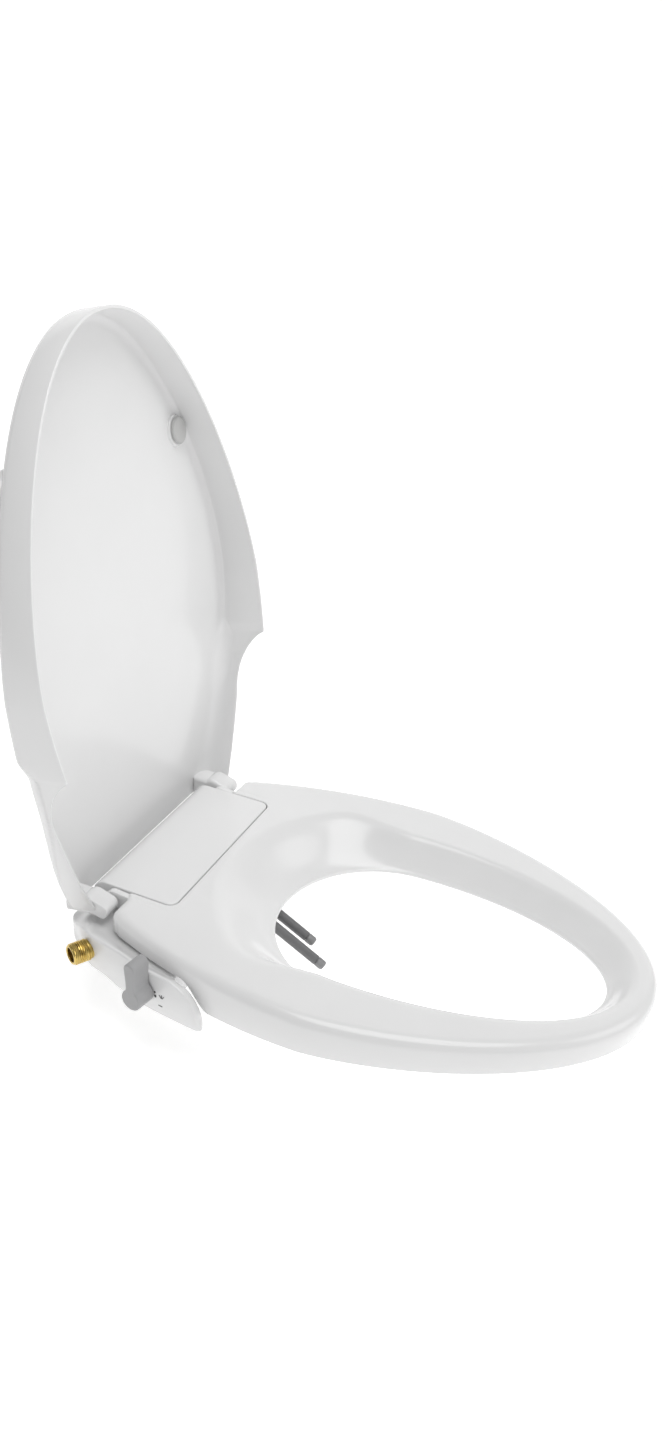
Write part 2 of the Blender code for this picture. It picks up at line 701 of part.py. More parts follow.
def make_nozzle(name, x, reach, finishes):
    """Sliding spray rod: a hollow body, and a tip that carries the spray holes."""
    body = nozzle_line(x, -14 * MM)
    collar = 6.2 * MM
    profile = [(0, 0), (collar, 0), (collar, 1.6 * MM), (NOZZLE_RADIUS, 1.6 * MM), (NOZZLE_RADIUS, reach + 5 * MM),
               (0, reach + 5 * MM)]
    turned(f"{name}_nozzle", profile, body, NOZZLE_AXIS, finishes["dark"], 18)
    tip = nozzle_line(x, reach - 9 * MM + GAP)
    profile = [(0, 0), (NOZZLE_RADIUS, 0), (NOZZLE_RADIUS, 8 * MM), (NOZZLE_RADIUS - 1 * MM, 9 * MM), (0, 9 * MM)]
    turned(f"{name}_nozzle_tip", profile, tip, NOZZLE_AXIS, finishes["dark"], 18)


def make_carrier(finishes):
    """Sloping carrier in which both nozzles slide."""
    middle_x = (REAR_NOZZLE_X + FRONT_NOZZLE_X) / 2
    middle = nozzle_line(middle_x, 0)
    half_width, half_height = 19 * MM, 8.5 * MM
    start, end = -63 * MM, -2 * MM
    down = X_AXIS.cross(NOZZLE_AXIS)
    points = []
    for along in (start, end):
        for side, rise in ((-1, -1), (1, -1), (1, 1), (-1, 1)):
            points.append(middle + NOZZLE_AXIS * along + X_AXIS * side * half_width + down * rise * half_height)
    faces = [(0, 1, 2, 3), (4, 5, 6, 7), (0, 1, 5, 4), (1, 2, 6, 5), (2, 3, 7, 6), (3, 0, 4, 7)]
    carrier = add_object("nozzle_carrier", points, faces, finishes["white"])
    for name, x in (("rear", REAR_NOZZLE_X), ("front", FRONT_NOZZLE_X)):
        start_point = nozzle_line(x, -61 * MM)
        cut(carrier, rod(f"{name}_bore_guide", start_point, NOZZLE_AXIS, 80 * MM, 6.6 * MM, finishes["white"], 18))
        seal = nozzle_line(x, -7 * MM)
        tube(f"{name}_nozzle_seal", seal, NOZZLE_AXIS, 4 * MM, 6.3 * MM, NOZZLE_RADIUS + GAP, finishes["black"], 18)
        add_spring(f"{name}_nozzle_spring", nozzle_line(x, -12.1 * MM), 4.8 * MM, finishes["steel"])


def make_nozzle_hoses(finishes):
    """Two thin hoses from the valve to the back of the nozzle carrier."""
    valve_end = KNOB_ROOT - KNOB_AXIS * 33 * MM
    for name, x, rise, back in (("rear", REAR_NOZZLE_X, 4, -47), ("front", FRONT_NOZZLE_X, -4, -40)):
        port = nozzle_line(x, -65.5 * MM) + X_AXIS.cross(NOZZLE_AXIS) * 3.4 * MM
        route = [valve_end + Z_AXIS * rise * MM, Vector((-130, -68, 17 + rise)) * MM,
                 Vector((-95, back - 3, 14 + rise)) * MM, Vector((-45, back, 13 + rise)) * MM,
                 Vector((x - 9 * MM, back * MM, (15 + rise) * MM)), port + Vector((0, 5.5, -4.5)) * MM, port]
        hose(f"{name}_nozzle_hose", route, 2.2 * MM, finishes["clear"])


def add_spring(name, start, length, material, turns=4, wire=0.5 * MM):
    """Return spring round the nozzle, squeezed between its collar and the seal."""
    turn = Z_AXIS.rotation_difference(NOZZLE_AXIS).to_matrix()
    curve = bpy.data.curves.new(name, "CURVE")
    curve.dimensions = "3D"
    curve.bevel_depth = wire
    curve.bevel_resolution = 1
    curve.use_fill_caps = True
    spline = curve.splines.new("POLY")
    steps = turns * 14
    spline.points.add(steps)
    for i, target in enumerate(spline.points):
        angle = 2 * math.pi * turns * i / steps
        along = wire + (length - 2 * wire) * i / steps
        local = Vector((5.9 * MM * math.cos(angle), 5.9 * MM * math.sin(angle), along))
        target.co = (*(start + turn @ local), 1.0)
    curve.materials.append(material)
    spring = bpy.data.objects.new(name, curve)
    bpy.context.scene.collection.objects.link(spring)


def make_dampers(finishes):
    for side, name in ((-1, "lid"), (1, "seat")):
        start = Vector((side * 36 * MM, HINGE_Y, HINGE_Z))
        rod(f"{name}_damper", start, X_AXIS * side, 61 * MM, 7 * MM, finishes["nylon"], 20)
        low_x, high_x = sorted((side * 40 * MM, side * 54 * MM))
        cradle = block(f"{name}_damper_cradle", (low_x, -9 * MM, BASE_TOP_Z + GAP),
                       (high_x, 13 * MM, 45 * MM), finishes["white"])
        guide = rod(f"{name}_cradle_guide", start, X_AXIS * side, 40 * MM, 7 * MM + GAP, finishes["white"], 20)
        cut(cradle, guide)


# ---------------------------------------------------------------- lid, made closed and then opened

def lid_rim_z(y):
    """Lower edge of the closed lid: a straight slope, then a scooped rise behind a crisp shoulder."""
    level = LID_RIM_HINGE_Z + LID_RIM_SLOPE * (HINGE_Y - y)
    share = (y - LID_SHOULDER_Y) / LID_SCOOP
    if share <= 0:
        return level
    if share < 1:
        return level + LID_SCOOP_RISE * (1 - (1 - share) ** 2.2) ** 0.77
    return level + LID_SCOOP_RISE + 0.107 * (y - LID_SHOULDER_Y - LID_SCOOP)


def lid_plane(y):
    """Outer top of the closed lid: level in front, then an arch that rises over the hinge."""
    share = min(1.0, max(0.0, (y - LID_ARCH_Y) / (HINGE_Y - LID_ARCH_Y)))
    return LID_TOP_NOSE_Z + LID_TOP_RISE * share ** 1.8


def lid_edge_round(y):
    """The edge is rounder behind the shoulder, where the lid has its waist."""
    waist = ease((y + 0.172) / 0.022) * (1 - ease((y + 0.120) / 0.100))
    return LID_EDGE_ROUND + LID_WAIST_ROUND * waist


def lid_outline(count):
    side = oval_side(LID_NOSE_Y, LID_REAR_Y, LID_HALF_WIDTH, LID_REAR_HALF_WIDTH, count)
    side += [(LID_REAR_HALF_WIDTH - inset, LID_REAR_Y) for inset in (3 * MM, 4.5 * MM, 50 * MM)]
    side.append((0.0, LID_REAR_Y))
    return mirrored(side)


LID_EDGE = lid_outline(26)


def lid_top(x, y):
    edge = min(loop_distance((x, y), LID_EDGE), 1.0)
    if y > LID_REAR_Y - 14 * MM and abs(x) < LID_REAR_HALF_WIDTH - LID_EDGE_ROUND:
        edge = LID_EDGE_ROUND + LID_WAIST_ROUND
    return lid_plane(y) - 0.95 * round_drop(edge, lid_edge_round(y))


def lid_under(x, y):
    near_rear = y > LID_REAR_Y - LID_WALL - 1 * MM and abs(x) < LID_REAR_HALF_WIDTH - 4 * MM
    if loop_distance((x, y), LID_EDGE) < LID_WALL and not near_rear:
        return lid_rim_z(y)
    return lid_top(x, y) - LID_WALL


def lid_spots():
    spots = []
    for distance in (1.0, 2.4, 2.9, 6, 11.2, 19, 40, 90):
        spots += offset_ring(LID_EDGE, distance * MM)
    return [spot for spot in spots if inside(spot, LID_EDGE)]


def lid_lug_outline():
    """Lid's hinge eye, with the rounded nose that meets the wing, up into the lid's panel."""
    outline = []
    for i in range(9):
        angle = math.radians(200 + 160 * i / 8)
        outline.append((HINGE_Y + 7.5 * MM * math.cos(angle), HINGE_Z + 7.5 * MM * math.sin(angle)))
    outline += [(LID_REAR_Y - 0.4 * MM, 60 * MM), (LID_REAR_Y - 0.4 * MM, 85.5 * MM), (-14 * MM, 82.3 * MM)]
    for i in range(6):
        angle = math.radians(150 + 60 * i / 5)
        outline.append((-2 * MM + 10 * MM * math.cos(angle), 60.5 * MM + 10 * MM * math.sin(angle)))
    return outline


def make_lid(finishes):
    white = finishes["white"]
    lid = field_shell("lid_shell", LID_EDGE, [], lid_spots(), lid_top, lid_under, white)
    pieces = [lid]
    for side in (-1, 1):
        low, high = sorted((side * 112 * MM, side * (LID_REAR_HALF_WIDTH - 1.2 * MM)))
        lug = cross_prism(f"lid_lug_guide_{side}", lid_lug_outline(), low, high, white)
        start = Vector((side * 110 * MM, HINGE_Y, HINGE_Z))
        depth, hole = (17 * MM, SHAFT_RADIUS + GAP) if side < 0 else (23 * MM, 5.6 * MM)
        eye = rod(f"lid_eye_guide_{side}", start, X_AXIS * side, depth, hole, white)
        foot = Vector((side * LID_BUMPER_X, LID_BUMPER_Y, seat_plane(LID_BUMPER_Y) + 4.9 * MM))
        boss = rod(f"lid_boss_guide_{side}", foot, Z_AXIS, 5.5 * MM, 13.5 * MM, white, 20)
        join(lid, lug)
        cut(lid, eye)
        join(lid, boss)
        profile = [(0, -4 * MM), (10.5 * MM, -4 * MM), (12 * MM, -2.6 * MM), (12 * MM, -GAP), (0, -GAP)]
        name = "left" if side < 0 else "right"
        pieces += [lug, eye, boss, turned(f"lid_bumper_{name}", profile, foot, Z_AXIS, finishes["soft"], 20)]
    start = Vector((-98 * MM, HINGE_Y, HINGE_Z))
    pieces.append(rod("lid_shaft", start, -X_AXIS, 28.5 * MM, SHAFT_RADIUS, finishes["steel"]))
    start = Vector((112.2 * MM, HINGE_Y, HINGE_Z))
    bush = tube("lid_bush", start, X_AXIS, 19 * MM, 5.3 * MM, SHAFT_RADIUS + 0.1 * MM, finishes["nylon"])
    pieces.append(bush)
    open_lid(pieces)


def open_lid(pieces):
    pivot = Matrix.Translation((0, HINGE_Y, HINGE_Z))
    turn = pivot @ Matrix.Rotation(-LID_OPEN, 4, "X") @ pivot.inverted()
    for piece in pieces:
        piece.matrix_world = turn @ piece.matrix_world


def main():
    clear_scene()
    finishes = make_finishes()
    make_base(finishes)
    make_inlet(finishes)
    make_valve(finishes)
    make_carrier(finishes)
    make_nozzle_hoses(finishes)
    make_nozzle("rear", REAR_NOZZLE_X, REAR_NOZZLE_REACH, finishes)
    make_nozzle("front", FRONT_NOZZLE_X, FRONT_NOZZLE_REACH, finishes)
    make_dampers(finishes)
    make_seat(finishes)
    make_lid(finishes)


main()
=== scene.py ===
"""Elongated bidet seat: open lid, seat, hinge cover, base with side control arm, lever, inlet and nozzles.

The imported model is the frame. Fine pieces are built round it and each rides on the body it belongs to.
Sizes are in millimetres and meshes in metres. -Y is towards the seat's nose, -X is the control side.
"""

import json
import math

import bmesh
import bpy
import numpy as np
from mathutils import Matrix, Vector
from mathutils.geometry import delaunay_2d_cdt


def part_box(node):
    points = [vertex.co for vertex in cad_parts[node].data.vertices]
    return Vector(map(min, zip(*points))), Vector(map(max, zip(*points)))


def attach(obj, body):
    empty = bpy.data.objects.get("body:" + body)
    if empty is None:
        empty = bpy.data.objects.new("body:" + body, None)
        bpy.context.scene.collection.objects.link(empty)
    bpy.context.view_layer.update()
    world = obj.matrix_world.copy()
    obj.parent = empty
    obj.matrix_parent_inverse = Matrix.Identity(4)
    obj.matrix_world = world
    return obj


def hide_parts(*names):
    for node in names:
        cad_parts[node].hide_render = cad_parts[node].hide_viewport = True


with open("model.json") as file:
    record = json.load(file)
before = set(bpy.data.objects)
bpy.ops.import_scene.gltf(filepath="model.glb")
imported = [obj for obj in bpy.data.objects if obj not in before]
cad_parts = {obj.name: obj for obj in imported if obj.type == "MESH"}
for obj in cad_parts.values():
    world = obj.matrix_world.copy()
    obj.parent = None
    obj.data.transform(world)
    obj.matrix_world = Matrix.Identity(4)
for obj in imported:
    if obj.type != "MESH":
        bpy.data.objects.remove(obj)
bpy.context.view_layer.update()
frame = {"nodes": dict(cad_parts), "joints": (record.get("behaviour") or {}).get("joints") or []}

MM = 0.001
JOINTS = {joint["name"]: joint for joint in frame["joints"]}
HINGE = Vector(JOINTS["lid_hinge"]["pos_m"])
HINGE_Y = HINGE.y / MM
HINGE_Z = HINGE.z / MM
TURN = 2 * math.pi
CONTROL_ROOT = Vector(JOINTS["control_turn"]["pos_m"])
CONTROL_AXIS = Vector(JOINTS["control_turn"]["axis"]).normalized()
NOZZLE_AXIS = Vector(JOINTS["rear_nozzle_slide"]["axis"]).normalized()
X_AXIS = Vector((1, 0, 0))
Z_AXIS = Vector((0, 0, 1))
# Turns an outline drawn as (y, z) with its height along x into the model's own axes.
SIDE_VIEW = Matrix(((0, 0, 1, 0), (1, 0, 0, 0), (0, 1, 0, 0), (0, 0, 0, 1)))


# ---------------------------------------------------------------- finishes

def linear(code):
    """An sRGB hex colour as linear light."""
    shares = [int(code[i:i + 2], 16) / 255 for i in (1, 3, 5)]
    return (*[s / 12.92 if s <= 0.04045 else ((s + 0.055) / 1.055) ** 2.4 for s in shares], 1.0)


def add(tree, kind, settings=None, inputs=None):
    """Adds one node with its settings, and its input values or the sockets that feed them."""
    made = tree.nodes.new(kind)
    for name, value in (settings or {}).items():
        setattr(made, name, value)
    for name, value in (inputs or {}).items():
        if isinstance(value, bpy.types.NodeSocket):
            tree.links.new(value, made.inputs[name])
        else:
            made.inputs[name].default_value = value
    return made


def surface(name, light, shade, cloud_mm, grain_mm, rough, relief_mm, shader=None, rings_mm=None, turn=None):
    """A moulded, rubbed or turned finish: clouded colour, grainy roughness and shallow relief.

    cloud_mm is the width of the colour's soft patches and grain_mm that of the relief; rings_mm is the
    spacing of turning marks round a lathe axis, which turn brings onto Z.
    """
    material = bpy.data.materials.new(name)
    material.use_nodes = True
    tree = material.node_tree
    tree.nodes.clear()
    place = add(tree, "ShaderNodeTexCoord").outputs["Object"]
    if turn is not None:
        place = add(tree, "ShaderNodeMapping", inputs={"Vector": place, "Rotation": turn}).outputs["Vector"]
    cloud = add(tree, "ShaderNodeTexNoise",
                inputs={"Vector": place, "Scale": 1 / (cloud_mm * MM), "Detail": 2.0})
    tint = add(tree, "ShaderNodeMix", {"data_type": "RGBA"},
               {"Factor": cloud.outputs["Fac"], 6: linear(shade), 7: linear(light)})
    if rings_mm:
        grain = add(tree, "ShaderNodeTexWave", {"bands_direction": "Z"},
                    {"Vector": place, "Scale": 1 / (rings_mm * MM) / 20, "Distortion": 1.5, "Detail": 2.0})
    else:
        grain = add(tree, "ShaderNodeTexNoise",
                    inputs={"Vector": place, "Scale": 1 / (grain_mm * MM), "Detail": 3.0})
    spread = add(tree, "ShaderNodeMapRange",
                 inputs={"Value": grain.outputs["Fac"], "To Min": rough[0], "To Max": rough[1]})
    relief = add(tree, "ShaderNodeBump",
                 inputs={"Height": grain.outputs["Fac"], "Strength": 0.5, "Distance": relief_mm * MM})
    skin = add(tree, "ShaderNodeBsdfPrincipled",
               inputs={"Base Color": tint.outputs[2], "Roughness": spread.outputs["Result"],
                       "Normal": relief.outputs["Normal"], **(shader or {})})
    add(tree, "ShaderNodeOutputMaterial", inputs={"Surface": skin.outputs["BSDF"]})
    return material


# Glossy ABS, injection moulded in a polished tool: near white, mirror-like at a glance, with a faint
# waviness that softens its reflections.
glossy_abs = surface("glossy_moulded_abs", "#E4E4E4", "#E0E0E0", 70, 14, (0.16, 0.22), 0.012,
                     {"IOR": 1.53})
# The same ABS through its colour, from a spark-eroded tool: mid grey, an even satin.
satin_abs = surface("satin_moulded_grey_abs", "#A3A3A4", "#9C9C9D", 24, 0.9, (0.38, 0.50), 0.02,
                    {"IOR": 1.53})
# Thermoplastic elastomer pads: soft to the touch, so matt, with hardly any highlight.
soft_pad = surface("matt_elastomer_pad", "#BDBDBC", "#B2B2B1", 9, 0.8, (0.60, 0.74), 0.03,
                   {"IOR": 1.50})
# Acetal rods for the nozzles: dense dark grey with a slow waxy shine.
acetal = surface("extruded_dark_acetal", "#6E6E6F", "#656566", 12, 1.2, (0.28, 0.38), 0.01,
                 {"IOR": 1.48})
# The tips are the same acetal, moulded a shade lighter.
acetal_tip = surface("moulded_acetal_tip", "#8B8B8C", "#828283", 10, 1.0, (0.30, 0.42), 0.01,
                     {"IOR": 1.48})
# Free-cutting brass, turned on a lathe: warm gold with fine rings of 0.25 mm, drawn at 0.9 mm to show.
turned_brass = surface("turned_brass", "#DCC27A", "#B79C50", 8, 0.9, (0.20, 0.34), 0.03,
                       {"Metallic": 1.0}, 0.9,
                       Vector((-0.86, 0.51, 0)).rotation_difference(Z_AXIS).to_euler())
# Cold-drawn stainless steel for shafts, springs and screws: bright, cool grey, faint drawing marks.
drawn_steel = surface("drawn_stainless_steel", "#C6C7C9", "#B5B6B9", 5, 0.6, (0.18, 0.32), 0.008,
                      {"Metallic": 1.0})
# EPDM rubber for seals, pads and washers: black that has dulled to charcoal.
black_rubber = surface("moulded_epdm_rubber", "#272727", "#1C1C1C", 8, 0.7, (0.55, 0.75), 0.04,
                       {"IOR": 1.50})
# Natural nylon 66: ivory, a little milky, satin.
ivory_nylon = surface("moulded_natural_nylon", "#EBE7DB", "#E2DDCE", 14, 1.0, (0.34, 0.46), 0.015,
                      {"IOR": 1.53, "Subsurface Weight": 0.08, "Subsurface Scale": 0.002})
# Polyethylene hose: milky and half clear, smooth from the extruder.
milky_hose = surface("extruded_polyethylene_hose", "#E4E9EB", "#D5DCDF", 10, 2.0, (0.24, 0.34), 0.01,
                     {"IOR": 1.51, "Transmission Weight": 0.25})
# Pad-printing ink for the marks: flat black, a hair rougher than the plastic under it.
print_ink = surface("pad_printed_ink", "#2A2A2B", "#202021", 3, 0.5, (0.35, 0.50), 0.005,
                    {"IOR": 1.50})


# ---------------------------------------------------------------- plan lines

def even(points, gap):
    """Even points along an open line, its ends kept."""
    line = np.asarray(points, float)
    run = np.concatenate([[0], np.cumsum(np.hypot(*np.diff(line, axis=0).T))])
    at = np.linspace(0, run[-1], max(2, round(run[-1] / gap) + 1))
    return np.column_stack([np.interp(at, run, line[:, 0]), np.interp(at, run, line[:, 1])])


def arc(cx, cy, radius, start, end, gap=0.8):
    count = max(3, round(abs(math.radians(end - start)) * radius / gap))
    angle = np.radians(np.linspace(start, end, count + 1))
    return np.column_stack([cx + radius * np.cos(angle), cy + radius * np.sin(angle)])


def closed(*lines):
    """One closed outline from lines that follow one another."""
    loop = np.vstack([np.asarray(line, float).reshape(-1, 2) for line in lines])
    return loop[np.hypot(*(loop - np.roll(loop, 1, axis=0)).T) > 0.02]


def mirrored(right):
    """Closed outline from a right half that runs from the nose round to the rear centre."""
    left = right[::-1] * (-1, 1)
    return closed(right, left[np.abs(left[:, 0]) > 1e-3])


def split_long(loop, gap):
    """Adds points so that no side of a closed outline is longer than gap."""
    return closed(*[even([a, b], gap)[:-1] if np.hypot(*(b - a)) > gap else [a]
                    for a, b in zip(loop, np.roll(loop, -1, axis=0))])


def softened(points, radius, steps=5, loop=True):
    """Rounds each corner of a line or a closed outline."""
    points = np.asarray(points, float)
    result = []
    for i, corner in enumerate(points):
        if not loop and i in (0, len(points) - 1):
            result.append(corner)
            continue
        before, after = points[i - 1] - corner, points[(i + 1) % len(points)] - corner
        reach_in, reach_out = np.hypot(*before), np.hypot(*after)
        size = min(radius, 0.45 * reach_in, 0.45 * reach_out)
        start, end = corner + before / reach_in * size, corner + after / reach_out * size
        for t in np.linspace(0, 1, steps):
            result.append((1 - t) ** 2 * start + 2 * t * (1 - t) * corner + t ** 2 * end)
    return np.array(result)


def distance(points, loop):
    """Shortest distance from each plan point to a closed outline."""
    best = np.full(len(points), 1e9)
    for first, last in zip(loop, np.roll(loop, -1, axis=0)):
        side = last - first
        share = np.clip((points - first) @ side / (side @ side), 0, 1)
        best = np.minimum(best, np.hypot(*(points - first - share[:, None] * side).T))
    return best


def within(points, loop):
    inside = np.zeros(len(points), bool)
    for (ax, ay), (bx, by) in zip(loop, np.roll(loop, -1, axis=0)):
        if ay != by:
            crosses = (ay > points[:, 1]) != (by > points[:, 1])
            inside ^= crosses & (points[:, 0] < (bx - ax) * (points[:, 1] - ay) / (by - ay) + ax)
    return inside


def ring(loop, inset, hole=False):
    """Points at an inset from an outline, on its solid side."""
    along = np.roll(loop, -1, axis=0) - np.roll(loop, 1, axis=0)
    after = np.roll(loop, -1, axis=0)
    area = np.sum(loop[:, 0] * after[:, 1] - loop[:, 1] * after[:, 0])
    side = math.copysign(1, area) * (-1 if hole else 1)
    normal = np.column_stack([-along[:, 1], along[:, 0]]) * side / np.hypot(*along.T)[:, None]
    found = loop + normal * inset
    return found[distance(found, loop) > 0.97 * inset]


def smooth(value):
    value = np.clip(value, 0, 1)
    return value * value * (3 - 2 * value)


def round_drop(depth, radius):
    """How far a quarter-round edge has fallen at a depth inside the outline."""
    return radius - np.sqrt(np.maximum(0, radius ** 2 - np.clip(radius - depth, 0, radius) ** 2))


# ---------------------------------------------------------------- meshes

def add_piece(name, points, faces, material, place=None, sharp=42):
    """Adds a mesh given in millimetres, welded, facing outwards and shaded smooth but for its corners."""
    mesh = bpy.data.meshes.new(name)
    mesh.from_pydata((np.asarray(points, float) * MM).tolist(), [], faces)
    work = bmesh.new()
    work.from_mesh(mesh)
    bmesh.ops.remove_doubles(work, verts=work.verts, dist=2e-6)
    bmesh.ops.recalc_face_normals(work, faces=work.faces)
    if place is not None:
        bmesh.ops.transform(work, matrix=place, verts=work.verts)
        if place.determinant() < 0:
            bmesh.ops.reverse_faces(work, faces=work.faces)
    work.to_mesh(mesh)
    work.free()
    mesh.shade_smooth()
    mesh.set_sharp_from_angle(angle=math.radians(sharp))
    mesh.materials.append(material)
    piece = bpy.data.objects.new(name, mesh)
    bpy.context.scene.collection.objects.link(piece)
    return piece


def joined(name, pieces):
    """Several pieces of one body as one object."""
    for piece in pieces:
        piece.select_set(True)
    with bpy.context.temp_override(active_object=pieces[0], selected_editable_objects=pieces):
        bpy.ops.object.join()
    pieces[0].name = name
    pieces[0].data.name = name
    return pieces[0]


THINNEST_WALL = 0.02


def shell(name, outline, insets, gap, top, under, material, hole=None, hole_insets=(), place=None,
          edge_line=None, spots=None):
    """Closed solid between two height fields over a plan outline.

    insets are the rings near the outline, hole_insets those round a hole, and gap is the spacing inside
    them. top and under take x, y, the depth inside the outline and the distance from the hole.
    edge_line stands for the outline where one of its sides is a plain cut.
    """
    edge_line = outline if edge_line is None else edge_line
    rings = [ring(edge_line, inset) for inset in insets]
    low, high = outline.min(axis=0), outline.max(axis=0)
    across = np.arange(low[0] + gap / 2, high[0], gap)
    along = np.arange(low[1] + gap / 2, high[1], gap * 0.87)
    grid = np.array([(x + gap / 2 * (row % 2), y) for row, y in enumerate(along) for x in across])
    grid = grid[within(grid, outline)]
    grid = grid[distance(grid, edge_line) > (insets[-1] if len(insets) else 0) + 0.6 * gap]
    if spots is not None:
        rings.append(spots)
    inner = np.vstack([grid] + rings) if len(grid) else np.vstack(rings)
    inner = inner[within(inner, outline)]
    if edge_line is not outline:
        inner = inner[distance(inner, outline) > 0.04]
        plain = distance(inner, outline) < distance(inner, edge_line) - 0.01
        inner = inner[~plain | (distance(inner, outline) > 0.5)]
    loops = [outline]
    if hole is not None:
        far = distance(inner, hole)
        inner = inner[~within(inner, hole) & (far > hole_insets[-1] + 0.6 * gap)]
        inner = np.vstack([inner] + [ring(hole, inset, True) for inset in hole_insets])
        loops.append(hole)
    edges = []
    start = 0
    for loop in loops:
        edges += [(start + i, start + (i + 1) % len(loop)) for i in range(len(loop))]
        start += len(loop)
    plan = [Vector(point) for point in np.vstack(loops + [inner])]
    flat, _, triangles, _, _, _ = delaunay_2d_cdt(plan, edges, [], 0, 1e-4)
    flat = np.array([tuple(point) for point in flat])
    triangles = np.array(triangles)
    middle = flat[triangles].mean(axis=1)
    kept = within(middle, outline)
    if hole is not None:
        kept &= ~within(middle, hole)
    triangles = triangles[kept]
    edge = distance(flat, edge_line)
    lip = distance(flat, hole) if hole is not None else edge
    x, y = flat.T
    above, below = top(x, y, edge, lip), under(x, y, edge, lip)
    below = np.minimum(below, above - THINNEST_WALL)
    points = np.vstack([np.column_stack([x, y, above]), np.column_stack([x, y, below])])
    count = len(flat)
    faces = [tuple(t) for t in triangles.tolist()]
    faces += [(c + count, b + count, a + count) for a, b, c in triangles.tolist()]
    pairs = {(a, b) for t in triangles.tolist() for a, b in zip(t, t[1:] + t[:1])}
    for a, b in pairs:
        if (b, a) not in pairs:
            faces.append((b, a, a + count, b + count))
    return add_piece(name, points, faces, material, place)


def turned(name, profile, start, axis, material, sides=64):
    """Turned piece from a line of (radius, distance along the axis), both in millimetres."""
    profile = np.asarray(profile, float)
    angle = np.linspace(0, 2 * math.pi, sides, endpoint=False)
    points = np.array([(r * math.cos(a), r * math.sin(a), z) for a in angle for r, z in profile])
    count = len(profile)
    faces = []
    for step in range(sides):
        after = (step + 1) % sides
        for i in range(count):
            j = (i + 1) % count
            if profile[i][0] < 1e-4 and profile[j][0] < 1e-4:
                continue
            faces.append((step * count + i, after * count + i, after * count + j, step * count + j))
    turn = Z_AXIS.rotation_difference(Vector(axis)).to_matrix().to_4x4()
    return add_piece(name, points, faces, material, Matrix.Translation(Vector(start) * MM) @ turn, 50)


def fit(piece, body, slot, *nodes):
    """Puts a finished piece on its body and hides the nodes it stands for."""
    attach(piece, body)
    if nodes:
        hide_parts(*nodes)
    return piece


# ---------------------------------------------------------------- outlines of the seat and lid

WIDEST_FROM_NOSE = 257
HINGE_TO_NOSE = 475


def oval_half(from_nose, half, rear_half):
    """Half width of the elongated oval at a distance behind its nose."""
    near = 1 - np.clip(from_nose, 0, WIDEST_FROM_NOSE) / WIDEST_FROM_NOSE
    front = half * (1 - near ** 1.49) ** (1 / 2.07)
    back = np.maximum(0, from_nose - WIDEST_FROM_NOSE) / (HINGE_TO_NOSE - WIDEST_FROM_NOSE)
    return np.where(from_nose < WIDEST_FROM_NOSE, front, half - (half - rear_half) * back ** 2)


def oval_side(nose_y, rear_y, half, rear_half, gap):
    reach = (rear_y - nose_y) * np.linspace(0, 1, 3000) ** 2.5
    return even(np.column_stack([oval_half(reach, half, rear_half), nose_y + reach]), gap)


# ---------------------------------------------------------------- lid, made closed and turned open

LID_NOSE_Y = -476
LID_REAR_Y = 5
LID_HALF = 189.2
LID_REAR_HALF = 136
LID_WALL = 2.5
LID_DRAFT = 0.3
LID_EDGE_ROUND = 11
LID_WAIST_ROUND = 15
LID_NOSE_Z = 49
LID_RISE = 38
LID_ARCH_Y = -330
RIM_HINGE_Z = 7
RIM_SLOPE = 0.0192
SCOOP_Y = -154
SCOOP_LENGTH = 62
SCOOP_RISE = 35
RIM_REAR_SLOPE = 0.107
LID_PAD_X = 125.5
LID_PAD_Y = -364
LID_PAD_HEIGHT = 4.9
LID_INSETS = (0.08, 0.25, 0.5, 0.8, 1.3, 1.7, 2.0, 2.25, 2.42, 2.5, 2.8, 3.0, 3.4, 4.0, 4.8, 5.8, 7.0, 8.4,
              10.0, 12.0, 14.5, 17.5, 21.0, 26.0, 32.0)
LID_OPENED = (Matrix.Translation(HINGE)
              @ Matrix.Rotation(-math.radians(JOINTS["lid_hinge"]["range_deg"][0]), 4,
                                Vector(JOINTS["lid_hinge"]["axis"]))
              @ Matrix.Translation(-HINGE))


def lid_plane(y):
    """Outer top of the closed lid: level in front, then an arch that rises over the hinge."""
    return LID_NOSE_Z + LID_RISE * np.clip((y - LID_ARCH_Y) / (HINGE_Y - LID_ARCH_Y), 0, 1) ** 1.8


def lid_rim(y):
    """Lower edge of the closed lid: a straight slope, then a scooped rise behind a crisp shoulder."""
    share = np.clip((y - SCOOP_Y) / SCOOP_LENGTH, 0, 1)
    level = RIM_HINGE_Z + RIM_SLOPE * (HINGE_Y - y)
    scoop = SCOOP_RISE * (1 - (1 - share) ** 2.2) ** 0.77
    return level + scoop + RIM_REAR_SLOPE * np.maximum(0, y - SCOOP_Y - SCOOP_LENGTH)


def lid_edge_round(y):
    """The edge is rounder behind the shoulder, where the lid has its waist."""
    return LID_EDGE_ROUND + LID_WAIST_ROUND * smooth((y + 172) / 22) * (1 - smooth((y + 120) / 100))


def lid_edge_drop(y, edge):
    return 0.95 * round_drop(edge, lid_edge_round(y))


def lid_top(x, y, edge, lip):
    return lid_plane(y) - lid_edge_drop(y, edge)


def lid_under(x, y, edge, lip):
    fillet = 5 + 14 * smooth((y + 185) / 90)
    inner = edge - LID_WALL - LID_DRAFT
    drop = np.maximum(lid_edge_drop(y, edge), round_drop(np.maximum(inner, 0), fillet))
    panel = lid_plane(y) - LID_WALL - drop
    rim = lid_rim(y)
    lips = 0.8 * round_drop(edge, 0.8) + 0.8 * round_drop(np.maximum(0, LID_WALL - edge), 0.8)
    share = np.clip((edge - LID_WALL) / LID_DRAFT, 0, 1)
    inside = rim + lips * (1 - share) + (np.maximum(panel, rim) - rim) * share
    return np.where(edge <= LID_WALL, rim + lips, inside)


